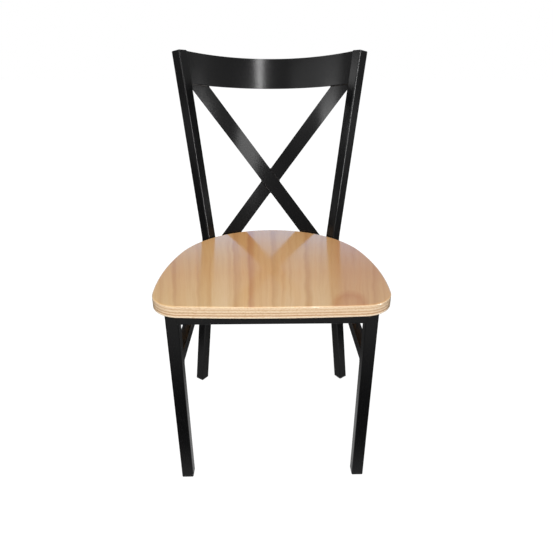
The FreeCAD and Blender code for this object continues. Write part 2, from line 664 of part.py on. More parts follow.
front_axis = Placement(Vector(front_foot.x, front_foot.y, -size("tube_side")), Rotation())
nodes["glide_front_right"] = glide("glide_front_right", front_axis)
nodes["glide_front_left"] = mirrored("glide_front_left", nodes["glide_front_right"])
nodes["glide_rear_right"] = glide("glide_rear_right", rear_place)
nodes["glide_rear_left"] = mirrored("glide_rear_left", nodes["glide_rear_right"])

# Seat brackets: triangular plates in the corners of the seat frame, flush with the top of its tubes.
# One side lies along the front or rear rail, and the other along the side rail, which toes inwards.

plate_bottom = frame_top - size("bracket_thickness")
front_corner = chair_point(front_leg_middle, size("rail_thick") / 2, plate_bottom)
rear_corner = Vector(side_rail_end.x, rear_rail_end.y, plate_bottom)
side_run = side_rail_end - chair_point(front_leg_middle, half_tube, rail_middle_height)
put("side_toe", math.degrees(math.atan2(-side_run.x, side_run.y)), "side rails in plan, in degrees")
doc.recompute()


def bracket(name, corner, towards_front, *tubes):
    """A triangular plate whose right angle is at a corner, trimmed by the tubes round it."""
    place = Placement(corner, Rotation())
    body = new_body(name + "_plate", place)
    sketch = new_sketch(body, name + "_plan", "XY_Plane")
    reach = "(bracket_leg + rail_thick)"
    along_x = f"{reach} * sin(side_toe * 1 deg)"
    along_y = f"{reach} * cos(side_toe * 1 deg)"
    side_end = (along_x, f"0 - {along_y}") if towards_front else (f"0 - {along_x}", along_y)
    draw_polygon(sketch, [("0", "0"), side_end, (f"0 - {reach}", "0")])
    pad(body, sketch, name + "_pad", "bracket_thickness")
    inset = size("bracket_hole_inset") + size("rail_thick") / 2
    hole_point = corner + Vector(-inset, -inset if towards_front else inset, 0)
    hole = add("Part::Cylinder", name + "_hole")
    hole.setExpression("Radius", cells("screw_hole / 2"))
    hole.setExpression("Height", cells("bracket_thickness"))
    hole.Placement = Placement(hole_point, Rotation())
    nodes[name + "_right"] = cut(name + "_right", body, hole, *tubes)
    nodes[name + "_left"] = mirrored(name + "_left", nodes[name + "_right"])
    return hole_point


front_hole = bracket("seat_bracket_front", front_corner, False,
                     front_outer, front_rail_outer, side_rail_outer)
rear_hole = bracket("seat_bracket_rear", rear_corner, True,
                    rear_outer, rear_rail_outer, side_rail_outer)
screw_points = []
for point in (front_hole, rear_hole):
    for side in (1, -1):
        screw_points.append(Vector(point.x * side, point.y, 0))

# Seat panel: one D-shaped board with a front arc, two corner arcs, two side arcs and a rear arc. It
# is cut back where it would come closer to the posts than seat_post_gap.

seat_place = Placement(chair_point(0, -size("seat_overhang"), frame_top), Rotation())
seat = new_body("seat_board", seat_place)
seat_sketch = new_sketch(seat, "seat_plan", "XY_Plane")
front_r = size("seat_front_radius")
corner_r = size("seat_corner_radius")
side_r = size("seat_side_radius")
rear_r = size("seat_rear_radius")
half_seat = size("seat_width") / 2
front_c = Vector(0, front_r, 0)
rear_c = Vector(0, size("seat_depth") - rear_r, 0)
side_x = half_seat - side_r
side_c = Vector(side_x, rear_c.y - math.sqrt((side_r - rear_r) ** 2 - side_x ** 2), 0)


def inner_centre(first_centre, first_reach, second_centre, second_reach):
    """The point at the given reaches from two centres that lies right of and in front of them."""
    span = second_centre - first_centre
    along = (first_reach ** 2 - second_reach ** 2 + span.Length ** 2) / (2 * span.Length)
    aside = math.sqrt(first_reach ** 2 - along ** 2)
    step = Vector(span).normalize()
    middle = first_centre + step * along
    options = [middle + Vector(-step.y, step.x, 0) * aside, middle - Vector(-step.y, step.x, 0) * aside]
    return max(options, key=lambda point: point.x)


corner_c = inner_centre(front_c, front_r - corner_r, side_c, side_r - corner_r)


def angle_of(centre, away_from):
    """The direction from a centre away from another point."""
    line = centre - away_from
    return math.atan2(line.y, line.x)


front_end = angle_of(corner_c, front_c)
corner_end = angle_of(corner_c, side_c)
side_end = angle_of(rear_c, side_c)


def seat_arc(centre, radius, begin, end):
    return seat_sketch.addGeometry(Part.ArcOfCircle(Part.Circle(centre, Z_AXIS, radius), begin, end))


def flipped(point):
    return Vector(-point.x, point.y, 0)


arcs = [
    seat_arc(front_c, front_r, -math.pi - front_end, front_end),
    seat_arc(corner_c, corner_r, front_end, corner_end),
    seat_arc(side_c, side_r, corner_end, side_end),
    seat_arc(rear_c, rear_r, side_end, math.pi - side_end),
    seat_arc(flipped(side_c), side_r, math.pi - side_end, math.pi - corner_end),
    seat_arc(flipped(corner_c), corner_r, math.pi - corner_end, math.pi - front_end),
]
for index, edge in enumerate(arcs):
    after = arcs[(index + 1) % len(arcs)]
    seat_sketch.addConstraint(Sketcher.Constraint("Tangent", edge, 2, after, 1))
seat_sketch.addConstraint(Sketcher.Constraint("PointOnObject", arcs[0], 3, -2))
seat_sketch.addConstraint(Sketcher.Constraint("PointOnObject", arcs[3], 3, -2))
bind(seat_sketch, Sketcher.Constraint("Radius", arcs[0], front_r), "seat_front_radius", "front")
bind(seat_sketch, Sketcher.Constraint("Radius", arcs[3], rear_r), "seat_rear_radius", "rear")
for index, formula, radius in ((1, "seat_corner_radius", corner_r), (2, "seat_side_radius", side_r),
                               (4, "seat_side_radius", side_r), (5, "seat_corner_radius", corner_r)):
    bind(seat_sketch, Sketcher.Constraint("Radius", arcs[index], radius), formula, f"arc_{index}")
bind(seat_sketch, Sketcher.Constraint("DistanceY", -1, 1, arcs[0], 3, front_r),
     "seat_front_radius", "front_y")
bind(seat_sketch, Sketcher.Constraint("DistanceY", -1, 1, arcs[3], 3, rear_c.y),
     "seat_depth - seat_rear_radius", "rear_y")
bind(seat_sketch, Sketcher.Constraint("DistanceX", -1, 1, arcs[2], 3, side_x),
     "seat_width / 2 - seat_side_radius", "right_x")
bind(seat_sketch, Sketcher.Constraint("DistanceX", arcs[4], 3, -1, 1, side_x),
     "seat_width / 2 - seat_side_radius", "left_x")


def level_edges(feature, height):
    """The names of a board's edges that lie level at a height above its own origin."""
    edges = enumerate(feature.Shape.Edges, 1)
    return [f"Edge{index}" for index, edge in edges
            if all(abs(vertex.Z - height) < 0.001 for vertex in edge.Vertexes)]


seat_pad = pad(seat, seat_sketch, "seat_board_pad", "seat_thickness")
doc.recompute()
top_bevel = seat.newObject("PartDesign::Chamfer", "seat_board_top_bevel")
top_bevel.Base = (seat_pad, level_edges(seat_pad, size("seat_thickness")))
top_bevel.setExpression("Size", cells("seat_edge_bevel"))
doc.recompute()
foot_bevel = seat.newObject("PartDesign::Chamfer", "seat_board_foot_bevel")
foot_bevel.Base = (top_bevel, level_edges(top_bevel, 0))
foot_bevel.setExpression("Size", cells("seat_foot_bevel"))


def upright(name, radius, height, point, z):
    """A cylinder that stands on a height over a point of the plan."""
    rod = add("Part::Cylinder", name)
    rod.setExpression("Radius", cells(radius))
    rod.setExpression("Height", cells(height))
    rod.Placement = Placement(Vector(point.x, point.y, z), Rotation())
    return rod


def prism(name, sides, inner_radius, height, point, z):
    """An upright prism over a point of the plan, with its flats at a radius from its axis."""
    rod = add("Part::Prism", name, Polygon=sides)
    rod.setExpression("Circumradius", cells(f"({inner_radius}) / cos({180 / sides} deg)"))
    rod.setExpression("Height", cells(height))
    rod.Placement = Placement(Vector(point.x, point.y, z), Rotation())
    return rod


# The hidden round bores and inserts are drawn with few sides, to keep the faces down
HIDDEN_SIDES = 12
insert_holes = []
inserts = []
washers = []
screws = []
washer_bottom = plate_bottom - size("washer_thickness")
head_bottom = washer_bottom - size("screw_head_height")
for index, point in enumerate(screw_points, 1):
    insert_holes.append(prism(f"insert_hole_{index}", HIDDEN_SIDES,
                              "insert_width / 2 + thread_clearance", "insert_hole_depth",
                              point, frame_top))
    inserts.append(cut(
        f"insert_{index}",
        prism(f"insert_{index}_body", HIDDEN_SIDES, "insert_width / 2", "insert_length",
              point, frame_top),
        prism(f"insert_{index}_bore", HIDDEN_SIDES, "screw_thread / 2 + thread_clearance",
              "insert_length", point, frame_top)))
    washers.append(cut(
        f"washer_{index}",
        upright(f"washer_{index}_disc", "washer_width / 2", "washer_thickness", point, washer_bottom),
        prism(f"washer_{index}_bore", HIDDEN_SIDES, "screw_thread / 2 + thread_clearance",
              "washer_thickness", point, washer_bottom)))
    head = upright(f"screw_{index}_head", "screw_head_width / 2", "screw_head_height", point, head_bottom)
    shank = upright(f"screw_{index}_shank", "screw_thread / 2",
                    "washer_thickness + bracket_thickness + screw_reach", point, washer_bottom)
    recess = prism(f"screw_{index}_recess", 6, "screw_recess_width / 2", "screw_recess_depth",
                   point, head_bottom)
    screws.append(cut(f"screw_{index}", fuse(f"screw_{index}_solid", [head, shank]), recess))

post_space = bent_bar("post_space", "tube_side + 2 * seat_post_gap", "tube_corner")
post_space_left = mirrored("post_space_left", post_space)
nodes["seat_panel"] = cut("seat_panel", seat, post_space, post_space_left, *insert_holes)
nodes["seat_inserts"] = add("Part::Compound", "seat_inserts", Links=inserts)
nodes["seat_washers"] = add("Part::Compound", "seat_washers", Links=washers)
nodes["seat_screws"] = add("Part::Compound", "seat_screws", Links=screws)

# Checks, and one STEP file for each piece

doc.recompute()
for thing in doc.Objects:
    if "Invalid" in thing.State or "Error" in thing.State:
        raise RuntimeError(f"{thing.Label} failed: {thing.State}")
for name, piece in nodes.items():
    piece.Label = name
    shape = piece.Shape
    if shape.isNull() or not shape.isValid() or not shape.Solids:
        raise RuntimeError(f"{name} has no valid solid")
os.makedirs("parts", exist_ok=True)
for name, piece in nodes.items():
    piece.Shape.exportStep(f"parts/{name}.step")
    box = piece.Shape.optimalBoundingBox(False)
    print(f"{name:22s} {len(piece.Shape.Solids)} solid(s) {piece.Shape.Volume / 1000:8.1f} cm3"
          f"  x {box.XMin:7.1f} {box.XMax:7.1f}  y {box.YMin:7.1f} {box.YMax:7.1f}"
          f"  z {box.ZMin:7.1f} {box.ZMax:7.1f}")
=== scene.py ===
# %% [markdown]
# # Restaurant chair: the looks
#
# The chair is a black powder-coated steel frame with a plywood seat. Its shape comes from the CAD frame,
# already packed. This script adds the camera, the studio, the finishes and the small visible things that
# the CAD leaves out, such as weld beads. All lengths are in metres, in the frame's own axes: X runs across
# the chair, Y runs from front to back and Z runs up. The chair faces -Y.

import math

import bpy
import numpy as np
from mathutils import Matrix, Vector


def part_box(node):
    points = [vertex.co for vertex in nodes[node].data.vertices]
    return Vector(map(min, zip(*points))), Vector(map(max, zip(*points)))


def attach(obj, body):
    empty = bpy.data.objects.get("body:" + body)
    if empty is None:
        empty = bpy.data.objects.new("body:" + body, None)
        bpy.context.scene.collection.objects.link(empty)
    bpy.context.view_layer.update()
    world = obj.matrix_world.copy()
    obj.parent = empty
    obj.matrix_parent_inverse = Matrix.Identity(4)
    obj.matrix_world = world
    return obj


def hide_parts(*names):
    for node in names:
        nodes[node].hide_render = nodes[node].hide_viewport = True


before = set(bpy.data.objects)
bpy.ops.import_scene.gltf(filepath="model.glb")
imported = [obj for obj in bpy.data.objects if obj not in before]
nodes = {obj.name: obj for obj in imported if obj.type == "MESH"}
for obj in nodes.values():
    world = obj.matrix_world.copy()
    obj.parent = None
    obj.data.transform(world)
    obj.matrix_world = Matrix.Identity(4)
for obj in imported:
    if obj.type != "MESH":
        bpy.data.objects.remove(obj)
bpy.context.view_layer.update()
print("CAD nodes:", len(nodes))

# %% [markdown]
# ## Camera
#
# The photograph was taken from straight in front, at the height of the top rail, looking down at the seat.
# A camera can be placed by eye, but a few pixels of error show along every edge. Here its place, angles and
# lens were fitted instead: they were changed in small steps until the outline of the frame and of the seat
# covered the outline in the picture. A lens is given to Blender as a focal length over a sensor width, so
# the fitted length in pixels is turned into millimetres.

# %% Camera
IMAGE_WIDTH = 553
FOCAL_PIXELS = 458.92
SENSOR_WIDTH = 36.0
CAMERA_POSITION = Vector((-0.0060, -0.98488, 0.84352))
YAW, PITCH, ROLL = (math.radians(a) for a in (1.06, 24.02, -0.05))


def add_object(name, data):
    """A new object in the scene for a mesh, a camera or a lamp."""
    item = bpy.data.objects.new(name, data)
    bpy.context.scene.collection.objects.link(item)
    return item


forward = Vector((math.sin(YAW) * math.cos(PITCH), math.cos(YAW) * math.cos(PITCH), -math.sin(PITCH)))
level_right = Vector((math.cos(YAW), -math.sin(YAW), 0.0))
level_down = forward.cross(level_right)
right = math.cos(ROLL) * level_right + math.sin(ROLL) * level_down
down = math.cos(ROLL) * level_down - math.sin(ROLL) * level_right

camera_data = bpy.data.cameras.new("photo_camera")
camera_data.sensor_fit = "HORIZONTAL"
camera_data.sensor_width = SENSOR_WIDTH
camera_data.lens = SENSOR_WIDTH * FOCAL_PIXELS / IMAGE_WIDTH
camera = add_object("photo_camera", camera_data)
turn = Matrix((right, -down, -forward)).transposed()
camera.matrix_world = Matrix.Translation(CAMERA_POSITION) @ turn.to_4x4()
bpy.context.scene.camera = camera
bpy.context.scene.view_settings.view_transform = "Standard"
print("lens (mm):", round(camera_data.lens, 2))

# %% [markdown]
# ## Helpers for the finishes
#
# Colours are chosen as the hexadecimal numbers of a paint program, which are sRGB. Blender mixes
# light in linear values, so one function turns the first into the second. Nodes could be added by hand in
# the shader editor, but then nobody can see why a number is what it is. So one function adds a node of any
# kind with its settings and its links in one call, which keeps each finish short enough to read.

# %% Colour and node helpers
WHITE = "#ffffff"


def linear(hex_colour):
    """Linear RGBA of an sRGB colour written as '#rrggbb'."""
    channels = [int(hex_colour[i : i + 2], 16) / 255 for i in (1, 3, 5)]
    curve = [c / 12.92 if c <= 0.04045 else ((c + 0.055) / 1.055) ** 2.4 for c in channels]
    return (*curve, 1.0)


def set_stops(color_ramp, stops):
    """Gives a colour ramp its rising positions with their colours."""
    elements = color_ramp.elements
    while len(elements) > 1:
        elements.remove(elements[-1])
    for index, (position, colour) in enumerate(stops):
        element = elements[0] if index == 0 else elements.new(position)
        element.position = position
        element.color = linear(colour)


def add_node(tree, kind, settings=None, **inputs):
    """Adds a node and gives it back.

    settings are its properties, and a ramp also takes "stops". An input is named with _ for a space, or
    in_ and its number. Its value is a number, a colour, an output, or a node, meaning its first output.
    """
    node = tree.nodes.new(kind)
    for name, value in (settings or {}).items():
        if name == "stops":
            set_stops(node.color_ramp, value)
        else:
            setattr(node, name, value)
    for name, value in inputs.items():
        socket = node.inputs[int(name[3:]) if name.startswith("in_") else name.replace("_", " ")]
        if isinstance(value, bpy.types.Node):
            value = value.outputs[0]
        if isinstance(value, bpy.types.NodeSocket):
            tree.links.new(value, socket)
        else:
            socket.default_value = value
    return node


def new_material(name):
    """An empty node material and its tree."""
    material = bpy.data.materials.new(name)
    material.use_nodes = True
    material.node_tree.nodes.clear()
    return material, material.node_tree


print("a middle grey in linear values:", [round(c, 4) for c in linear("#808080")])

# %% [markdown]
# ## Powder-coated steel
#
# The tubes are welded, blasted, and sprayed with dry black powder that carries a static charge. In the
# oven at about 180 degrees the powder melts to a skin 0.06 to 0.1 mm thick. The skin pulls itself smooth
# but keeps a faint orange peel, with waves about a millimetre across. The eye sees a deep black whose
# reflections are soft and slightly uneven. A picture of paint could be wrapped round each tube, but it
# would stretch at the bends. Noise in Object coordinates fills space instead, so it fits every piece. One
# pixel of the picture covers 2 to 3 mm here, so the waves are drawn 2.5 mm wide, or they would vanish.
# The gloss varies a little with the thickness of the skin, so the roughness wanders slowly too.

# %% Powder coat
PEEL_WAVE = 0.0025
SHADE_WAVE = 0.09
FINE_RELIEF = 0.0002


def powder_coat():
    """Black paint with orange peel and a wandering gloss."""
    material, tree = new_material("black_powder_coat")
    place = add_node(tree, "ShaderNodeTexCoord").outputs["Object"]
    peel = add_node(tree, "ShaderNodeTexNoise", Vector=place, Scale=1 / PEEL_WAVE, Detail=2.0)
    slow = add_node(tree, "ShaderNodeTexNoise", Vector=place, Scale=1 / SHADE_WAVE, Detail=3.0)
    rough = add_node(tree, "ShaderNodeMapRange", Value=slow, To_Min=0.14, To_Max=0.22)
    bump = add_node(tree, "ShaderNodeBump", Height=peel, Strength=0.2, Distance=FINE_RELIEF)
    shader = add_node(
        tree, "ShaderNodeBsdfPrincipled", Base_Color=linear("#09090a"), IOR=1.5, Roughness=rough, Normal=bump
    )
    add_node(tree, "ShaderNodeOutputMaterial", Surface=shader)
    return material


def paint(names, material):
    """Gives CAD nodes a finish instead of the plain one that they came with."""
    for name in names:
        nodes[name].data.materials.clear()
        nodes[name].data.materials.append(material)


coat = powder_coat()
FRAME_STARTS = ("front_", "rear_", "side_", "lower_", "crest_", "cross_", "seat_bracket_")
frame_names = [name for name in nodes if name.startswith(FRAME_STARTS)]
paint(frame_names, coat)
print("powder-coated pieces:", len(frame_names))

# %% [markdown]
# ## Black plastic
#
# The post caps and the glides are moulded in black polyethylene. The mould is lightly etched, so they look
# duller than the powder coat and slightly less black. The etching could be modelled, but its pits are only
# about 0.05 mm wide, so a noise just tilts the surface's normals. It is drawn 2 mm wide, or it wouldn't
# show at all.

# %% Plastic
ETCHING = 0.002


def moulded_plastic():
    """Black polyethylene from an etched mould."""
    material, tree = new_material("black_plastic")
    place = add_node(tree, "ShaderNodeTexCoord").outputs["Object"]
    grain = add_node(tree, "ShaderNodeTexNoise", Vector=place, Scale=1 / ETCHING, Detail=4.0)
    bump = add_node(tree, "ShaderNodeBump", Height=grain, Strength=0.4, Distance=FINE_RELIEF)
    shader = add_node(
        tree, "ShaderNodeBsdfPrincipled", Base_Color=linear("#0c0c0d"), IOR=1.51, Roughness=0.36, Normal=bump
    )
    add_node(tree, "ShaderNodeOutputMaterial", Surface=shader)
    return material


plastic = moulded_plastic()
plastic_names = [name for name in nodes if name.startswith(("post_cap_", "glide_"))]
paint(plastic_names, plastic)
print("plastic pieces:", len(plastic_names))

# %% [markdown]
# ## Zinc-plated steel
#
# Screws, washers and threaded inserts are steel with a bright zinc skin a few thousandths of a
# millimetre thick. Tumbling in the plating barrel leaves fine marks, and the skin clouds a little, so the
# eye sees a grey metal whose gloss changes from spot to spot. The marks could be scratched into a bump,
# but only the gloss shows on pieces this small, so noise drives the roughness alone.

# %% Zinc
CLOUD_WAVE = 0.004


def zinc_plate():
    """Bright zinc with a clouded gloss."""
    material, tree = new_material("zinc_plate")
    place = add_node(tree, "ShaderNodeTexCoord").outputs["Object"]
    cloud = add_node(tree, "ShaderNodeTexNoise", Vector=place, Scale=1 / CLOUD_WAVE, Detail=5.0)
    rough = add_node(tree, "ShaderNodeMapRange", Value=cloud, To_Min=0.22, To_Max=0.5)
    shader = add_node(
        tree, "ShaderNodeBsdfPrincipled", Base_Color=linear("#c9cdd2"), Metallic=1.0, Roughness=rough
    )
    add_node(tree, "ShaderNodeOutputMaterial", Surface=shader)
    return material


zinc = zinc_plate()
zinc_names = [name for name in nodes if name in ("seat_screws", "seat_washers", "seat_inserts")]
paint(zinc_names, zinc)
print("zinc-plated pieces:", zinc_names)

# %% [markdown]
# ## Seat: the edge in plan
#
# The board is cut on a router with a template. Its edge is a chain of arcs that run smoothly into each
# other: one nearly straight arc in front, a tight one at each front corner, a long one at each side, and
# one across the rear. It could be drawn as a spline, but arcs have real radii that a workshop can repeat,
# and they are the ones of the CAD model. Where two arcs meet they share a tangent, so their centres and
# the joint lie on one line, and that is how each joint is found.

# %% Seat outline
seat_low, seat_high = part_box("seat_panel")
HALF_WIDTH, FRONT_Y, REAR_Y = seat_high.x, seat_low.y, seat_high.y
TOP_Z, FOOT_Z = seat_high.z, seat_low.z
FRONT_R, CORNER_R, SIDE_R, REAR_R = 3.0, 0.060, 0.560, 0.216
OUTLINE_STEP = 0.003


def meeting_point(first, first_reach, second, second_reach):
    """The right-hand point at given distances from two centres."""
    span = second - first
    length = np.linalg.norm(span)
    along = (first_reach**2 - second_reach**2 + length**2) / (2 * length)
    aside = math.sqrt(first_reach**2 - along**2)
    step = span / length
    middle = first + step * along
    across = np.array([-step[1], step[0]]) * aside
    return max(middle + across, middle - across, key=lambda point: point[0])


def arc_points(centre, radius, begin, end):
    """Points and outward normals of an arc, evenly spaced by angle, without its last point.

    With a the angle, the normal is (cos a, sin a), and the point is the centre plus radius times normal.
    """
    count = math.ceil(radius * (end - begin) / OUTLINE_STEP)
    angle = np.linspace(begin, end, count, endpoint=False)
    normal = np.stack([np.cos(angle), np.sin(angle)], axis=1)
    return centre + radius * normal, normal


def seat_outline():
    """The whole edge, anticlockwise from the middle of the front, as points and outward normals."""
    front_c = np.array([0.0, FRONT_Y + FRONT_R])
    rear_c = np.array([0.0, REAR_Y - REAR_R])
    side_x = HALF_WIDTH - SIDE_R
    side_c = np.array([side_x, rear_c[1] - math.sqrt((SIDE_R - REAR_R) ** 2 - side_x**2)])
    corner_c = meeting_point(front_c, FRONT_R - CORNER_R, side_c, SIDE_R - CORNER_R)
    front_end = math.atan2(*(corner_c - front_c)[::-1])
    corner_end = math.atan2(*(corner_c - side_c)[::-1])
    side_end = math.atan2(*(rear_c - side_c)[::-1])
    arcs = [
        arc_points(front_c, FRONT_R, -math.pi / 2, front_end),
        arc_points(corner_c, CORNER_R, front_end, corner_end),
        arc_points(side_c, SIDE_R, corner_end, side_end),
        arc_points(rear_c, REAR_R, side_end, math.pi / 2),
    ]
    points = np.concatenate([points for points, _ in arcs])
    normals = np.concatenate([normals for _, normals in arcs])
    rear_end = np.array([[0.0, REAR_Y]])
    flip = np.array([-1.0, 1.0])
    whole = np.concatenate([points, rear_end, points[:0:-1] * flip])
    whole_normals = np.concatenate([normals, [[0.0, 1.0]], normals[:0:-1] * flip])
    return whole, whole_normals


outline, outline_normals = seat_outline()
print("points round the seat:", len(outline), "half width (mm):", round(outline[:, 0].max() * 1000, 1))

# %% [markdown]
# ## Seat: the profile of the board
#
# The router also rounds the top edge. A Bevel modifier could do that on the CAD board, but not the plies:
# where the fibres are cut across, sanding leaves a ply a tenth of a millimetre lower than its neighbours.
# So the board is built from a profile that has both. It runs from the middle of the top outwards, round
# the top edge, down the side and back to the middle underneath. A narrow row beside each rounded edge
# keeps the flat faces flat when the surface is shaded smooth.

# %% Seat profile
EDGE_ROUND = 0.003
FOOT_BEVEL = 0.001
NARROW_ROW = 0.0006
PLY_COUNT = 7
PLY_DIP = 0.00012
SIDE_ROWS = 43
FACE_SHARES = np.array([0.25, 0.5, 0.75, 0.92])


def board_profile():
    """Rows from the top's middle to the bottom's middle: share of the way out, inset and height.

    With a from 0 to a quarter turn, the round edge has inset R(1 - sin a) and depth R(1 - cos a). Down
    the side the inset is the dip in every second ply, and 0 in the others.
    """
    turn = np.linspace(0, math.pi / 2, 9)
    side_z = np.linspace(TOP_Z - EDGE_ROUND, FOOT_Z + FOOT_BEVEL, SIDE_ROWS)[1:]
    ply = (side_z - FOOT_Z) / (TOP_Z - FOOT_Z) * PLY_COUNT
    dip = PLY_DIP * (np.floor(ply) % 2)
    rows = [(share, EDGE_ROUND + NARROW_ROW, TOP_Z) for share in (*FACE_SHARES, 1.0)]
    rows += [(1.0, EDGE_ROUND * (1 - math.sin(a)), TOP_Z - EDGE_ROUND * (1 - math.cos(a))) for a in turn]
    rows += list(zip(np.ones_like(side_z), dip, side_z))
    rows += [(1.0, FOOT_BEVEL, FOOT_Z), (1.0, FOOT_BEVEL + NARROW_ROW, FOOT_Z)]
    rows += [(share, FOOT_BEVEL + NARROW_ROW, FOOT_Z) for share in FACE_SHARES[::-1]]
    return np.array(rows)


profile = board_profile()
print("rows of the profile:", len(profile))

# %% [markdown]
# ## Seat: the board
#
# The profile is carried round the edge in plan, like a scraper round a cake. Each row is the edge moved
# inwards by the row's inset and drawn towards a middle point by its share. The middles of the top and the
# bottom are single points, so no seam is left open. The middle lies a little in front of the board's
# centre, where the D shape is wider, and the rows close in on it evenly.

# %% Seat board
MIDDLE_FORWARD = 0.03


def smooth_piece(name, vertices, faces):
    """A smooth-shaded object from arrays of corner points and of faces."""
    mesh = bpy.data.meshes.new(name)
    mesh.from_pydata(vertices.tolist(), [], faces)
    mesh.shade_smooth()
    return add_object(name, mesh)


def closed_mesh(name, rings, first_pole, last_pole):
    """A closed surface from rings of points, each the same length, between two single points.

    Point j of ring i is joined to its neighbours i + 1 and j + 1, and j runs round.
    """
    row_count, ring_length, _ = rings.shape
    vertices = np.concatenate([rings.reshape(-1, 3), [first_pole, last_pole]])
    here = np.arange(ring_length)
    ahead = np.roll(here, -1)
    row = np.arange(row_count - 1)[:, None] * ring_length
    quads = np.stack([row + here, row + ring_length + here, row + ring_length + ahead, row + ahead], axis=-1)
    pole = row_count * ring_length
    end = (row_count - 1) * ring_length
    first_cap = np.stack([np.full(ring_length, pole), here, ahead], axis=1)
    last_cap = np.stack([np.full(ring_length, pole + 1), end + ahead, end + here], axis=1)
    faces = quads.reshape(-1, 4).tolist() + first_cap.tolist() + last_cap.tolist()
    return smooth_piece(name, vertices, faces)


middle = np.array([0.0, (FRONT_Y + REAR_Y) / 2 - MIDDLE_FORWARD])
share, inset, height = (profile[:, i][:, None] for i in range(3))
inner = outline[None] - inset[..., None] * outline_normals[None]
plan = middle + share[..., None] * (inner - middle)
rings = np.concatenate([plan, np.broadcast_to(height[..., None], (*plan.shape[:2], 1))], axis=2)
seat = closed_mesh("seat_board", rings, (*middle, TOP_Z), (*middle, FOOT_Z))
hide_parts("seat_panel")
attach(seat, "root")
print("seat faces:", len(seat.data.polygons))

# %% [markdown]
# ## Plywood: coordinates along and across the grain
#
# The face veneer is sliced pine, laid with its grain from front to back. A wood photograph could be laid
# on it, but a pattern worked out from coordinates has no seams and can be steered. In the photograph the
# bands run straight up the picture, so on the chair they spread a little towards the rear. The distance
# across the grain is therefore divided by a width that grows from the front edge backwards. A slow noise
# pushes the bands sideways by a few millimetres, as growth rings wander in a real trunk.

# %% Grain coordinates
FAN_PER_METRE = 1.115
WANDER = 0.009
WANDER_PER_METRE = (12.0, 14.0, 1.0)


def grain_coordinates(tree):
    """Outputs for the wandering distance across the grain, and for X, Y and Z, in metres."""
    place = add_node(tree, "ShaderNodeTexCoord").outputs["Object"]
    split = add_node(tree, "ShaderNodeSeparateXYZ", Vector=place)
    x, y, z = (split.outputs[axis] for axis in "XYZ")
    behind = add_node(tree, "ShaderNodeMath", {"operation": "SUBTRACT"}, in_0=y, in_1=FRONT_Y)
    spread = add_node(
        tree, "ShaderNodeMath", {"operation": "MULTIPLY_ADD"}, in_0=behind, in_1=FAN_PER_METRE, in_2=1.0
    )
    across = add_node(tree, "ShaderNodeMath", {"operation": "DIVIDE"}, in_0=x, in_1=spread)
    slow_place = add_node(tree, "ShaderNodeCombineXYZ", X=across, Y=y)
    scaled = add_node(tree, "ShaderNodeMapping", Vector=slow_place, Scale=WANDER_PER_METRE)
    slow = add_node(tree, "ShaderNodeTexNoise", Vector=scaled, Scale=1.0, Detail=3.0)
    centred = add_node(tree, "ShaderNodeMath", {"operation": "SUBTRACT"}, in_0=slow, in_1=0.5)
    wandering = add_node(
        tree, "ShaderNodeMath", {"operation": "MULTIPLY_ADD"}, in_0=centred, in_1=WANDER, in_2=across
    )
    return wandering, x, y, z


print("spread of the bands at the rear:", round(1 + FAN_PER_METRE * (REAR_Y - FRONT_Y), 3))

# %% [markdown]
# ## Plywood: bands and summer lines
#
# Pine veneer shows wide pale bands of spring growth and thin darker, redder lines of summer growth. A
# summer line starts sharply on one side and fades out on the other. Blender's Wave texture makes evenly
# spaced rings, which look artificial, so two colour ramps are laid across the board instead, one for the
# broad tone and one for the lines. The places of the strongest lines were judged, in millimetres
# from the middle of the front edge.

# %% Bands and summer lines
BROAD_TONE = (
    (-225, "#d3ae78"), (-150, "#d7b380"), (-80, "#ddbd90"), (-48, "#dab27e"), (45, "#dab88b"),
    (98, "#d6b385"), (130, "#cba074"), (225, "#cda576"),
)
SUMMER_LINES = (
    (-174, "#f4eadf"), (-131, "#f3ece2"), (-66, "#ecdfd2"), (-40, "#e4cdc2"), (2, "#f0e9df"),
    (61, "#efe4d7"), (183, "#f2eae2"),
)
LINE_RISE, LINE_FALL = 4, 13
VENEER_WIDTH_MM = 460
TINT = {"data_type": "RGBA", "blend_type": "MULTIPLY"}


def veneer_bands(tree, wandering):
    """The broad tone of the veneer, darkened by its summer lines."""
    position = add_node(
        tree, "ShaderNodeMath", {"operation": "MULTIPLY_ADD"},
        in_0=wandering, in_1=1000 / VENEER_WIDTH_MM, in_2=0.5,
    )
    lines = []
    for mm, colour in SUMMER_LINES:
        lines += [(mm - LINE_RISE, WHITE), (mm, colour), (mm + LINE_FALL, WHITE)]
    broad_stops, line_stops = (
        [(mm / VENEER_WIDTH_MM + 0.5, colour) for mm, colour in table] for table in (BROAD_TONE, lines)
    )
    broad = add_node(tree, "ShaderNodeValToRGB", {"stops": broad_stops}, Fac=position)
    line = add_node(tree, "ShaderNodeValToRGB", {"stops": line_stops}, Fac=position)
    return add_node(tree, "ShaderNodeMix", TINT, in_0=1.0, in_6=broad, in_7=line).outputs[2]


print("summer lines across the front edge:", len(SUMMER_LINES))
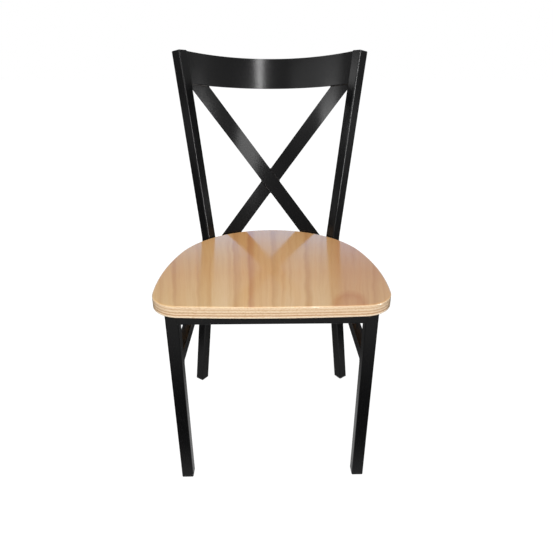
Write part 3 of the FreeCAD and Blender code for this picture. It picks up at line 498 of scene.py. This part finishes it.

# %% [markdown]
# ## Plywood: streaks and painted shade towards the rear
#
# Between the lines the wood is full of fine streaks a millimetre or two wide, and of wider, weaker ones.
# Thousands of hair-thin lines could be drawn for them, but noise that is stretched fifty times along the
# grain gives both at once. The board is also painted a little darker towards the rear, as in the
# photograph: a painted shade, for the weaker light there. The fine streaks drive a faint bump too,
# because summer wood is harder and stands up after sanding.

# %% Streaks and painted shade towards the rear
FINE_STREAK = 0.0016
WIDE_STREAK = 0.014
STREAK_SHORTENING = 0.02
FINE_TONES = ((0.3, "#faf4ec"), (0.5, WHITE), (0.72, "#fdf9f4"))
WIDE_TONES = ((0.28, "#eedcc6"), (0.5, WHITE), (0.62, "#fdf6ee"), (0.74, "#f3e5d7"))
# Painted shade: these tones darken the veneer from the front edge to the rear.
REAR_SHADE_TONES = ((0.0, WHITE), (0.12, "#fdf9f3"), (0.35, "#f9ead8"), (1.0, "#f5e2cb"))


def streaks_and_rear_shade(tree, colour, wandering, along):
    """The colour with its streaks and a painted shade towards the rear, and the height of the fine streaks.
    """
    short = add_node(tree, "ShaderNodeMath", {"operation": "MULTIPLY"}, in_0=along, in_1=STREAK_SHORTENING)
    place = add_node(tree, "ShaderNodeCombineXYZ", X=wandering, Y=short)
    fine, wide = (
        add_node(tree, "ShaderNodeTexNoise", Vector=place, Scale=1 / width, Detail=detail, Roughness=rough)
        for width, detail, rough in ((FINE_STREAK, 3.0, 0.6), (WIDE_STREAK, 4.0, 0.55))
    )
    # Painted shade: the board is made darker from the front edge to the rear, for the weaker light there.
    depth = add_node(tree, "ShaderNodeMapRange", Value=along, From_Min=FRONT_Y, From_Max=REAR_Y)
    layers = ((fine, FINE_TONES, 0.9), (wide, WIDE_TONES, 0.8), (depth, REAR_SHADE_TONES, 1.0))
    for value, stops, strength in layers:
        tones = add_node(tree, "ShaderNodeValToRGB", {"stops": stops}, Fac=value)
        colour = add_node(tree, "ShaderNodeMix", TINT, in_0=strength, in_6=colour, in_7=tones).outputs[2]
    return colour, fine


print("streak widths (mm):", FINE_STREAK * 1000, WIDE_STREAK * 1000)

# %% [markdown]
# ## Plywood: the arch in the front right corner
#
# There the knife passed close to the side of a growth ring, which leaves a small reddish arch that opens
# to the front edge. A distorted Voronoi pattern could give such a figure somewhere, but not where it is
# wanted. So the distance from a point on the front edge is measured in units of the arch's own size, made
# ragged by a noise, and coloured by a ramp. The ramp ends at 1, so it reads half of that distance.

# %% Arch
ARCH_CENTRE, ARCH_HALF, ARCH_LENGTH = 0.139, 0.027, 0.050
RAGS_PER_METRE, RAG_DEPTH, RAG_SHORTENING = 160.0, 0.3, 0.3
ARCH_TONES = (
    (0.0, "#fbf5f0"), (0.3, "#f8ede6"), (0.44, "#f3e3d9"), (0.54, "#eed8ca"), (0.62, "#f6e9e0"),
    (0.75, WHITE),
)


def ring_arch(tree, colour, wandering, along):
    """The colour with the arch in it."""
    offsets = [
        add_node(tree, "ShaderNodeMath", {"operation": "SUBTRACT"}, in_0=value, in_1=start)
        for value, start in ((wandering, ARCH_CENTRE), (along, FRONT_Y))
    ]
    aside, back = (
        add_node(tree, "ShaderNodeMath", {"operation": "DIVIDE"}, in_0=offset, in_1=size)
        for offset, size in zip(offsets, (ARCH_HALF, ARCH_LENGTH))
    )
    reach = add_node(tree, "ShaderNodeCombineXYZ", X=aside, Y=back)
    radius = add_node(tree, "ShaderNodeVectorMath", {"operation": "LENGTH"}, in_0=reach).outputs["Value"]
    short = add_node(tree, "ShaderNodeMath", {"operation": "MULTIPLY"}, in_0=along, in_1=RAG_SHORTENING)
    place = add_node(tree, "ShaderNodeCombineXYZ", X=wandering, Y=short)
    rags = add_node(tree, "ShaderNodeTexNoise", Vector=place, Scale=RAGS_PER_METRE, Detail=3.0)
    ragged = add_node(
        tree, "ShaderNodeMath", {"operation": "MULTIPLY_ADD"}, in_0=rags, in_1=RAG_DEPTH, in_2=radius
    )
    half = add_node(tree, "ShaderNodeMath", {"operation": "MULTIPLY"}, in_0=ragged, in_1=0.5)
    tones = add_node(tree, "ShaderNodeValToRGB", {"stops": ARCH_TONES}, Fac=half)
    return add_node(tree, "ShaderNodeMix", TINT, in_0=0.9, in_6=colour, in_7=tones).outputs[2]


print("arch, width and length (mm):", round(ARCH_HALF * 2000), round(ARCH_LENGTH * 1000))

# %% [markdown]
# ## Plywood: the edge
#
# Seven plies are glued with their grain crossed. Four show long fibres, which stay pale, and the three
# between them show cut ends, which soak up more lacquer and look darker. Each ply could be a piece of its
# own, but they are glued and sanded as one, so one ramp up the side colours them. The plies are 24 / 7 mm
# thick. The dark ones look thinner in the photograph, because sanding rounds them over, and noise bends
# the layers once in about 45 mm, because plies are never quite even. The cut fibre ends are 0.05 mm fine,
# too fine to show, so their specks are drawn about 4 mm long.

# %% Plywood edge
DARK_PLIES = ((0.24, "#c8966a"), (0.46, "#cfa67c"), (0.71, "#dcb78f"))
DARK_HALF, FADE_BELOW, FADE_ABOVE = 0.02, 0.065, 0.08
BENDS_PER_METRE, BEND_STRETCH, BEND_SHARE = 22.0, 6.0, 0.07
SPECKS_PER_METRE, SPECK_STRETCH = 260.0, 3.0
SPECK_TONES = ((0.3, "#e2cbb0"), (0.55, WHITE))


def ply_edge(tree, x, y, z):
    """The colour of the board's side."""
    above = add_node(tree, "ShaderNodeMath", {"operation": "SUBTRACT"}, in_0=z, in_1=FOOT_Z)
    level = add_node(tree, "ShaderNodeMath", {"operation": "DIVIDE"}, in_0=above, in_1=TOP_Z - FOOT_Z)
    tall_place, speck_place = (
        add_node(
            tree, "ShaderNodeCombineXYZ", X=x, Y=y,
            Z=add_node(tree, "ShaderNodeMath", {"operation": "MULTIPLY"}, in_0=z, in_1=stretch),
        )
        for stretch in (BEND_STRETCH, SPECK_STRETCH)
    )
    wave = add_node(tree, "ShaderNodeTexNoise", Vector=tall_place, Scale=BENDS_PER_METRE, Detail=3.0)
    speck = add_node(tree, "ShaderNodeTexNoise", Vector=speck_place, Scale=SPECKS_PER_METRE, Detail=4.0)
    centred = add_node(tree, "ShaderNodeMath", {"operation": "SUBTRACT"}, in_0=wave, in_1=0.5)
    bent = add_node(
        tree, "ShaderNodeMath", {"operation": "MULTIPLY_ADD"}, in_0=centred, in_1=BEND_SHARE, in_2=level
    )
    stops = [(0.0, "#fdeed8")]
    for ply_level, dark in DARK_PLIES:
        stops += [
            (ply_level - FADE_BELOW, "#f0d7b4"), (ply_level - DARK_HALF, dark),
            (ply_level + DARK_HALF, dark), (ply_level + FADE_ABOVE, "#efd5b2"),
        ]
    stops += [(0.97, "#efd0a6"), (1.0, "#dfb98c")]
    layers = add_node(tree, "ShaderNodeValToRGB", {"stops": stops}, Fac=bent)
    specks = add_node(tree, "ShaderNodeValToRGB", {"stops": SPECK_TONES}, Fac=speck)
    return add_node(tree, "ShaderNodeMix", TINT, in_0=0.7, in_6=layers, in_7=specks).outputs[2]


print("plies:", PLY_COUNT, "of", round((TOP_Z - FOOT_Z) * 1000 / PLY_COUNT, 2), "mm")

# %% [markdown]
# ## Plywood: wood under lacquer
#
# Two coats of clear lacquer cover the sanded wood. The eye sees a dull, warm board under a thin, clear
# shine. One glossy wood shader would colour that shine, so the Principled shader's Coat layer is used,
# which is a clear film with a gloss of its own. Face and edge are one material: the colour changes from
# the one to the other by the distance to the nearer face, 1 mm below the surface.

# %% Lacquered plywood
FACE_DEPTH = dict(From_Min=0.0006, From_Max=0.0016)


def lacquered_plywood():
    """Pine veneer and plies under a clear film of lacquer."""
    material, tree = new_material("lacquered_pine_plywood")
    wandering, x, along, up = grain_coordinates(tree)
    streaked, height = streaks_and_rear_shade(tree, veneer_bands(tree, wandering), wandering, along)
    face = ring_arch(tree, streaked, wandering, along)
    edge = ply_edge(tree, x, along, up)
    depth = add_node(tree, "ShaderNodeMath", {"operation": "SUBTRACT"}, in_0=TOP_Z, in_1=up)
    below = add_node(tree, "ShaderNodeMath", {"operation": "SUBTRACT"}, in_0=up, in_1=FOOT_Z)
    near = add_node(tree, "ShaderNodeMath", {"operation": "MINIMUM"}, in_0=depth, in_1=below)
    side = add_node(tree, "ShaderNodeMapRange", Value=near, **FACE_DEPTH)
    mixed = add_node(tree, "ShaderNodeMix", {"data_type": "RGBA"}, in_0=side, in_6=face, in_7=edge)
    bump = add_node(tree, "ShaderNodeBump", Height=height, Strength=0.15, Distance=FINE_RELIEF)
    shader = add_node(
        tree, "ShaderNodeBsdfPrincipled", Base_Color=mixed.outputs[2], Normal=bump, Roughness=0.5, IOR=1.5,
        Coat_Weight=1.0, Coat_Roughness=0.12, Coat_IOR=1.5,
    )
    add_node(tree, "ShaderNodeOutputMaterial", Surface=shader)
    return material


seat.data.materials.append(lacquered_plywood())
print("materials on the seat:", [material.name for material in seat.data.materials])

# %% [markdown]
# ## Weld beads: where the seams are
#
# The frame is welded by hand wherever the cut end of one tube or plate touches its neighbour. The seams
# could be typed in as lists of points, but those would be wrong as soon as a size changes. So they are
# found in the CAD pieces themselves: a sharp edge whose two ends both lie on another piece's skin is part
# of a seam, and such edges chain up into closed loops. A tube also has a loop round its bore, which gets
# no weld, so a loop close round the same middle as a longer one is left out.

# %% Weld seams
import bmesh
from mathutils.bvhtree import BVHTree

TOUCH = 0.0003
SHARP = math.radians(35)
SAME_MIDDLE = 0.008


def merged(name):
    """A copy of a CAD piece's mesh in which the corners that share a place are one."""
    mesh = bmesh.new()
    mesh.from_mesh(nodes[name].data)
    bmesh.ops.remove_doubles(mesh, verts=mesh.verts, dist=1e-5)
    return mesh


def contact_loops(name, skins):
    """Closed chains of corner points where a piece's sharp edges lie on the skin of another piece."""
    mesh = merged(name)
    others = [skin for other, skin in skins.items() if other != name]
    touching = {v for v in mesh.verts if any(skin.find_nearest(v.co, TOUCH)[0] for skin in others)}
    onward = {}
    for edge in mesh.edges:
        if set(edge.verts) <= touching and len(edge.link_faces) == 2 and edge.calc_face_angle() > SHARP:
            first, second = edge.verts
            onward.setdefault(first, []).append(second)
            onward.setdefault(second, []).append(first)
    loops = []
    while onward:
        chain = [next(iter(onward))]
        while onward.get(chain[-1]):
            following = onward[chain[-1]].pop()
            onward[following].remove(chain[-1])
            chain.append(following)
        onward = {corner: ends for corner, ends in onward.items() if ends}
        if chain[0] == chain[-1] and len(chain) > 4:
            loops.append(np.array([tuple(corner.co) for corner in chain[:-1]]))
    mesh.free()
    return loops


def loop_length(loop):
    """The length all the way round."""
    return np.linalg.norm(loop - np.roll(loop, -1, axis=0), axis=1).sum()


def outer_loops(loops):
    """Leaves out each loop that lies round the bore inside another one."""
    kept = []
    for loop in sorted(loops, key=loop_length, reverse=True):
        middles = [np.linalg.norm(loop.mean(axis=0) - other.mean(axis=0)) for other in kept]
        if not middles or min(middles) > SAME_MIDDLE:
            kept.append(loop)
    return kept


skins = {}
for name in frame_names:
    skin_mesh = merged(name)
    skins[name] = BVHTree.FromBMesh(skin_mesh)
    skin_mesh.free()
seams = [loop for name in frame_names for loop in outer_loops(contact_loops(name, skins))]
print("weld seams:", len(seams), "lengths (mm):", [round(loop_length(loop) * 1000) for loop in seams])

# %% [markdown]
# ## Weld beads: the rippled rope
#
# The welding wire melts in small steps, so a bead is a row of overlapping ripples about 2 mm apart. A
# bump map on a plain rope would look right only from straight above, so the ripples are real shape: a
# rope whose radius swells and shrinks along each seam. Seams that would stand proud of a visible face, or
# under the seat board, are ground flush, as on the real frame, so there the rope shrinks to a fine line.

# %% Weld beads
BEAD_RADIUS = 0.0017
BEAD_PITCH = 0.0022
BEAD_STEP = 0.0007
BEAD_SIDES = 10
RIPPLE, RIPPLE_LEAN = 0.14, 0.35
FLUSH_SHARE = 0.15
FLUSH_FRONT_Y = -0.2265
FLUSH_TOP_Z = FOOT_Z - 0.0015
SOFTENING = (-2, -1, 0, 1, 2)


def softened(values):
    """The mean of each value in a closed row and its two neighbours on both sides."""
    return sum(np.roll(values, shift, axis=0) for shift in SOFTENING) / len(SOFTENING)


def bead(loop):
    """A rippled rope round a closed loop.

    With s along the loop, a round the rope and P the pitch, the radius is
    r = R * (1 + 0.14 * cos(2 pi (s / P + 0.35 cos a))), and the point is c(s) + r * (cos a * u + sin a * v).
    """
    closed = np.concatenate([loop, loop[:1]])
    reach = np.concatenate([[0.0], np.cumsum(np.linalg.norm(np.diff(closed, axis=0), axis=1))])
    count = int(reach[-1] / BEAD_STEP)
    ripples = round(reach[-1] / BEAD_PITCH)
    at = np.linspace(0, reach[-1], count, endpoint=False)
    path = softened(np.stack([np.interp(at, reach, closed[:, axis]) for axis in range(3)], axis=1))
    ahead = np.roll(path, -1, axis=0) - np.roll(path, 1, axis=0)
    ahead /= np.linalg.norm(ahead, axis=1)[:, None]
    facing = np.cross(path - path.mean(axis=0), ahead).sum(axis=0)
    facing /= np.linalg.norm(facing)
    u = np.cross(ahead, facing)
    u /= np.linalg.norm(u, axis=1)[:, None]
    v = np.cross(ahead, u)
    under_seat = (path[:, 2] > FLUSH_TOP_Z) & (path[:, 2] < FOOT_Z + 0.001)
    size = softened(np.where((path[:, 1] < FLUSH_FRONT_Y) | under_seat, FLUSH_SHARE, 1.0))
    a = np.linspace(0, 2 * np.pi, BEAD_SIDES, endpoint=False)[None]
    wave = np.cos(2 * np.pi * (at[:, None] / reach[-1] * ripples + RIPPLE_LEAN * np.cos(a)))
    r = (BEAD_RADIUS * size)[:, None] * (1 + RIPPLE * wave)
    return path[:, None] + (r * np.cos(a))[..., None] * u[:, None] + (r * np.sin(a))[..., None] * v[:, None]


def rope_mesh(name, ropes):
    """One object from ropes that close on themselves both ways round."""
    faces, start = [], 0
    for rope in ropes:
        rows, sides, _ = rope.shape
        index = start + np.arange(rows * sides).reshape(rows, sides)
        next_row, next_side = np.roll(index, -1, axis=0), np.roll(index, -1, axis=1)
        both = np.roll(next_row, -1, axis=1)
        faces.append(np.stack([index, next_side, both, next_row], axis=-1).reshape(-1, 4))
        start += rows * sides
    vertices = np.concatenate([rope.reshape(-1, 3) for rope in ropes])
    return smooth_piece(name, vertices, np.concatenate(faces).tolist())


beads = rope_mesh("weld_beads", [bead(loop) for loop in seams])
beads.data.materials.append(coat)
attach(beads, "root")
print("bead faces:", len(beads.data.polygons))

# %% [markdown]
# ## Post caps
#
# A moulded cap closes the top of each post. In the photograph it is a thin square plate with a low raised
# middle, so the fuller CAD cap is replaced. A cube with a Bevel modifier would be quick, but it has to be
# turned by hand to fit the leaning, turned posts. So the end of each tube is found in the CAD leg: its
# flat end face gives the centre and the direction, and the flat side of the tube gives the turn. One
# profile is then carried round a square with rounded corners.

# %% Post caps
CAP_HALF = 0.01235
CAP_CORNER = 0.003
CORNER_POINTS = 8
CAP_PROFILE_MM = (
    (9.5, 2.0), (6.0, 2.0), (5.2, 1.9), (4.7, 1.6), (4.3, 1.3), (3.8, 1.2), (1.0, 1.2), (0.5, 1.1),
    (0.15, 0.85), (0.0, 0.5), (0.0, -0.3), (3.0, -0.3), (8.0, -0.3),
)


def tube_end(name):
    """Centre and axis of a leg's upper end, and the normal of one flat side of its tube."""
    mesh = merged(name)
    top = max(v.co.z for v in mesh.verts)
    ends = [f for f in mesh.faces if f.normal.z > 0.9 and f.calc_center_median().z > top - 0.01]
    axis = ends[0].normal.copy()
    corners = np.array([v.co[:] for face in ends for v in face.verts])
    sides = [f for f in mesh.faces if f.calc_center_median().z > 0.5 and abs(f.normal.dot(axis)) < 0.02]
    flat = max(sides, key=lambda f: f.calc_area()).normal.copy()
    mesh.free()
    return (corners.min(axis=0) + corners.max(axis=0)) / 2, np.array(axis), np.array(flat)


def cap_mesh(name, leg):
    """A cap: point = centre + inset square(a) + height * axis.

    The square of half-side h - i, with corners of radius r - i but at least 0.2 mm, has 32 points.
    """
    centre, axis, flat = tube_end(leg)
    second = np.cross(axis, flat)
    inset, height = np.array(CAP_PROFILE_MM).T / 1000
    radius = np.maximum(CAP_CORNER - inset, 0.0002)[:, None]
    straight = CAP_HALF - inset[:, None] - radius
    quarter = np.linspace(0, math.pi / 2, CORNER_POINTS)
    angle = np.concatenate([quarter + turn * math.pi / 2 for turn in range(4)])
    corner_x = np.repeat([1, -1, -1, 1], CORNER_POINTS)
    corner_y = np.repeat([1, 1, -1, -1], CORNER_POINTS)
    across = straight * corner_x + radius * np.cos(angle)
    along = straight * corner_y + radius * np.sin(angle)
    rings = centre + across[..., None] * flat + along[..., None] * second + height[:, None, None] * axis
    return closed_mesh(name, rings, centre + height[0] * axis, centre + height[-1] * axis)


for side in ("left", "right"):
    cap = cap_mesh(f"thin_cap_{side}", f"rear_leg_{side}")
    cap.data.materials.append(plastic)
    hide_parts(f"post_cap_{side}")
    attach(cap, "root")
    print(cap.name, "highest point (mm):", round(max(v.co.z for v in cap.data.vertices) * 1000, 1))

# %% [markdown]
# ## Floor
#
# The photograph has pure white all round, so the floor is a very large, nearly white sheet. A bright
# enough lamp would turn any pale floor white, but it would bleach the seat as well. So the floor glows by
# itself where the camera looks at it, with a faint share of real light that keeps a soft shadow under the
# feet. Matt surfaces get light from an ordinary pale floor. Glossy ones see it dim, except for three
# patches: under the chair, far in front and far behind. They are what the tubes and rails mirror, and a
# studio sets them up with white and black boards, to keep black paint black.

# %% Floor
FLOOR_HALF = 30.0
FLOOR_GLOW, FLOOR_SHADE, FLOOR_MATT = 0.95, 0.16, 0.78
SMOOTH = {"interpolation_type": "SMOOTHSTEP"}
PATCH_RISE = dict(From_Min=-0.36, From_Max=-0.16, To_Min=0.05, To_Max=0.42)
PATCH_FALL = dict(From_Min=-0.1, From_Max=0.3, To_Min=1.0, To_Max=0.12)
PATCH_WIDTH = dict(From_Min=0.3, From_Max=0.5, To_Min=1.0, To_Max=0.2)
FAR_FRONT = dict(From_Min=-1.0, From_Max=-0.45, To_Min=0.33, To_Max=0.0)
FAR_BEHIND = dict(From_Min=0.35, From_Max=1.0, To_Min=0.0, To_Max=0.4)


def grey(value):
    """A neutral linear colour."""
    return (value, value, value, 1.0)


def floor_finish():
    """White to the camera, plain to matt surfaces, and three soft patches to glossy ones."""
    material, tree = new_material("studio_floor")
    path = add_node(tree, "ShaderNodeLightPath")
    matt = add_node(tree, "ShaderNodeBsdfDiffuse", Color=grey(FLOOR_MATT))
    shade = add_node(tree, "ShaderNodeBsdfDiffuse", Color=grey(FLOOR_SHADE))
    glow = add_node(tree, "ShaderNodeEmission", Strength=FLOOR_GLOW)
    seen = add_node(tree, "ShaderNodeAddShader", in_0=shade, in_1=glow)
    place = add_node(tree, "ShaderNodeTexCoord").outputs["Object"]
    split = add_node(tree, "ShaderNodeSeparateXYZ", Vector=place)
    depth = split.outputs["Y"]
    aside = add_node(tree, "ShaderNodeMath", {"operation": "ABSOLUTE"}, in_0=split.outputs["X"])
    rise = add_node(tree, "ShaderNodeMapRange", SMOOTH, Value=depth, **PATCH_RISE)
    fall = add_node(tree, "ShaderNodeMapRange", SMOOTH, Value=depth, **PATCH_FALL)
    width = add_node(tree, "ShaderNodeMapRange", SMOOTH, Value=aside, **PATCH_WIDTH)
    in_front = add_node(tree, "ShaderNodeMapRange", SMOOTH, Value=depth, **FAR_FRONT)
    behind = add_node(tree, "ShaderNodeMapRange", SMOOTH, Value=depth, **FAR_BEHIND)
    strip = add_node(tree, "ShaderNodeMath", {"operation": "MULTIPLY"}, in_0=rise, in_1=fall)
    patch = add_node(tree, "ShaderNodeMath", {"operation": "MULTIPLY"}, in_0=strip, in_1=width)
    far = add_node(tree, "ShaderNodeMath", {"operation": "ADD"}, in_0=in_front, in_1=behind)
    brightness = add_node(tree, "ShaderNodeMath", {"operation": "ADD"}, in_0=patch, in_1=far)
    mirrored = add_node(tree, "ShaderNodeEmission", Strength=brightness)
    glossy, seen_directly = path.outputs["Is Glossy Ray"], path.outputs["Is Camera Ray"]
    bounced = add_node(tree, "ShaderNodeMixShader", in_0=glossy, in_1=matt, in_2=mirrored)
    whole = add_node(tree, "ShaderNodeMixShader", in_0=seen_directly, in_1=bounced, in_2=seen)
    add_node(tree, "ShaderNodeOutputMaterial", Surface=whole)
    return material


corners = [(-1, -1), (1, -1), (1, 1), (-1, 1)]
floor_mesh = bpy.data.meshes.new("studio_floor")
floor_mesh.from_pydata([(x * FLOOR_HALF, y * FLOOR_HALF, 0) for x, y in corners], [], [(0, 1, 2, 3)])
floor_mesh.materials.append(floor_finish())
floor = add_object("studio_floor", floor_mesh)
print("floor half width (m):", FLOOR_HALF)

# %% [markdown]
# ## Surroundings
#
# A world of one plain white would be simple, but black paint shows nothing except what it mirrors, so it
# would turn grey. The world therefore answers each kind of ray in its own way. The camera sees pure white.
# Matt surfaces get soft light, more from the front than from the rear. Glossy ones see a dim room with one
# backdrop behind the chair. It is pale blue at the height that the rear of the seat mirrors, as in the
# photograph, plain grey lower down, because the frame would mirror blue rims there, and dark higher up.

# %% World
BACKDROP_BY_HEIGHT = (
    (0.0, "#6a6c70"), (0.24, "#6a6c70"), (0.30, "#64c4ff"), (0.327, "#54b8fa"), (0.343, "#2c8cc8"),
    (0.362, "#24749f"), (0.378, "#205a7c"), (0.40, "#1c4458"), (0.44, "#1b3a50"), (0.50, "#182a3a"),
    (1.0, "#181c20"),
)
BACKDROP_BY_DEPTH = dict(From_Min=0.6, From_Max=0.86, To_Min=0.0, To_Max=1.9)
ROOM_BY_SIDE = dict(From_Min=0.3, From_Max=0.8, To_Min=0.2, To_Max=0.28)
ROOM_BY_HEIGHT = dict(From_Min=-0.02, From_Max=0.16, To_Min=0.1, To_Max=1.0)
MATT_BY_DEPTH = dict(From_Min=-1.0, From_Max=0.0, To_Min=1.5, To_Max=0.34)


def studio_world():
    """White to the camera, soft light to matt surfaces, and a dim room to glossy ones."""
    world = bpy.data.worlds.new("studio")
    world.use_nodes = True
    tree = world.node_tree
    tree.nodes.clear()
    path = add_node(tree, "ShaderNodeLightPath")
    direction = add_node(tree, "ShaderNodeTexCoord").outputs["Generated"]
    split = add_node(tree, "ShaderNodeSeparateXYZ", Vector=direction)
    x, y, z = (split.outputs[axis] for axis in "XYZ")
    colour = add_node(tree, "ShaderNodeValToRGB", {"stops": BACKDROP_BY_HEIGHT}, Fac=z)
    behind = add_node(tree, "ShaderNodeMapRange", SMOOTH, Value=y, **BACKDROP_BY_DEPTH)
    backdrop = add_node(tree, "ShaderNodeBackground", Color=colour, Strength=behind)
    aside = add_node(tree, "ShaderNodeMath", {"operation": "ABSOLUTE"}, in_0=x)
    by_side = add_node(tree, "ShaderNodeMapRange", SMOOTH, Value=aside, **ROOM_BY_SIDE)
    by_height = add_node(tree, "ShaderNodeMapRange", SMOOTH, Value=z, **ROOM_BY_HEIGHT)
    strength = add_node(tree, "ShaderNodeMath", {"operation": "MULTIPLY"}, in_0=by_side, in_1=by_height)
    room = add_node(tree, "ShaderNodeBackground", Color=grey(1.0), Strength=strength)
    mirrored = add_node(tree, "ShaderNodeAddShader", in_0=backdrop, in_1=room)
    front = add_node(tree, "ShaderNodeMapRange", SMOOTH, Value=y, **MATT_BY_DEPTH)
    matt = add_node(tree, "ShaderNodeBackground", Color=grey(1.0), Strength=front)
    seen = add_node(tree, "ShaderNodeBackground", Color=grey(1.0), Strength=1.0)
    glossy, seen_directly = path.outputs["Is Glossy Ray"], path.outputs["Is Camera Ray"]
    bounced = add_node(tree, "ShaderNodeMixShader", in_0=glossy, in_1=matt, in_2=mirrored)
    whole = add_node(tree, "ShaderNodeMixShader", in_0=seen_directly, in_1=bounced, in_2=seen)
    add_node(tree, "ShaderNodeOutputWorld", Surface=whole)
    return world


bpy.context.scene.world = studio_world()
print("colours up the backdrop:", len(BACKDROP_BY_HEIGHT))

# %% [markdown]
# ## Lamps
#
# A large soft lamp above and in front lights the seat and its front edge. The six small ones only make
# reflections. The back is a hollow cylinder, so a lamp in front of it shows up as a soft upright streak at
# the place whose normal points half-way between the camera and the lamp, and the flat sides of the posts
# pick up the two that stand far out at the sides. Streaks could be painted into the finish, but they would
# stay put when the camera moves. The small lamps don't light matt surfaces, and no lamp shows itself.

# %% Lamps
SEAT_AND_BACK = (0.0, 0.1, 0.7)
CREST = (0.0, 0.26, 0.84)
BARS = (0.0, 0.2, 0.72)
KEY = ("key_lamp", -12, 64, 2.6, 1.6, 1.2, 7.4, SEAT_AND_BACK)
STREAKS = (
    ("crest_streak_lamp", 9, 24, 2.2, 0.14, 0.9, 15.0, CREST),
    ("crest_left_lamp", -40, 19, 2.4, 1.9, 0.4, 0.65, CREST),
    ("low_right_lamp", 20, 12, 2.4, 0.7, 0.42, 3.4, BARS),
    ("low_left_lamp", -51, 12, 2.4, 0.55, 0.42, 4.4, BARS),
    ("right_side_lamp", 60, -1, 2.4, 0.5, 1.1, 20.0, BARS),
    ("left_rear_lamp", -99, 9, 2.4, 0.5, 0.5, 1.3, CREST),
)


def soft_lamp(name, azimuth, elevation, distance, width, tall, radiance, aim):
    """A rectangular lamp, which the aim point sees at an azimuth (0 is in front) and an elevation."""
    a, e = math.radians(azimuth), math.radians(elevation)
    away = Vector((math.sin(a) * math.cos(e), -math.cos(a) * math.cos(e), math.sin(e)))
    data = bpy.data.lights.new(name, "AREA")
    data.shape = "RECTANGLE"
    data.size, data.size_y = width, tall
    data.energy = radiance * math.pi * width * tall
    lamp = add_object(name, data)
    facing = away.to_track_quat("Z", "Y").to_matrix().to_4x4()
    lamp.matrix_world = Matrix.Translation(Vector(aim) + away * distance) @ facing
    lamp.visible_camera = False
    return lamp


key = soft_lamp(*KEY)
for row in STREAKS:
    soft_lamp(*row).visible_diffuse = False
print("lamps:", key.name, [row[0] for row in STREAKS])
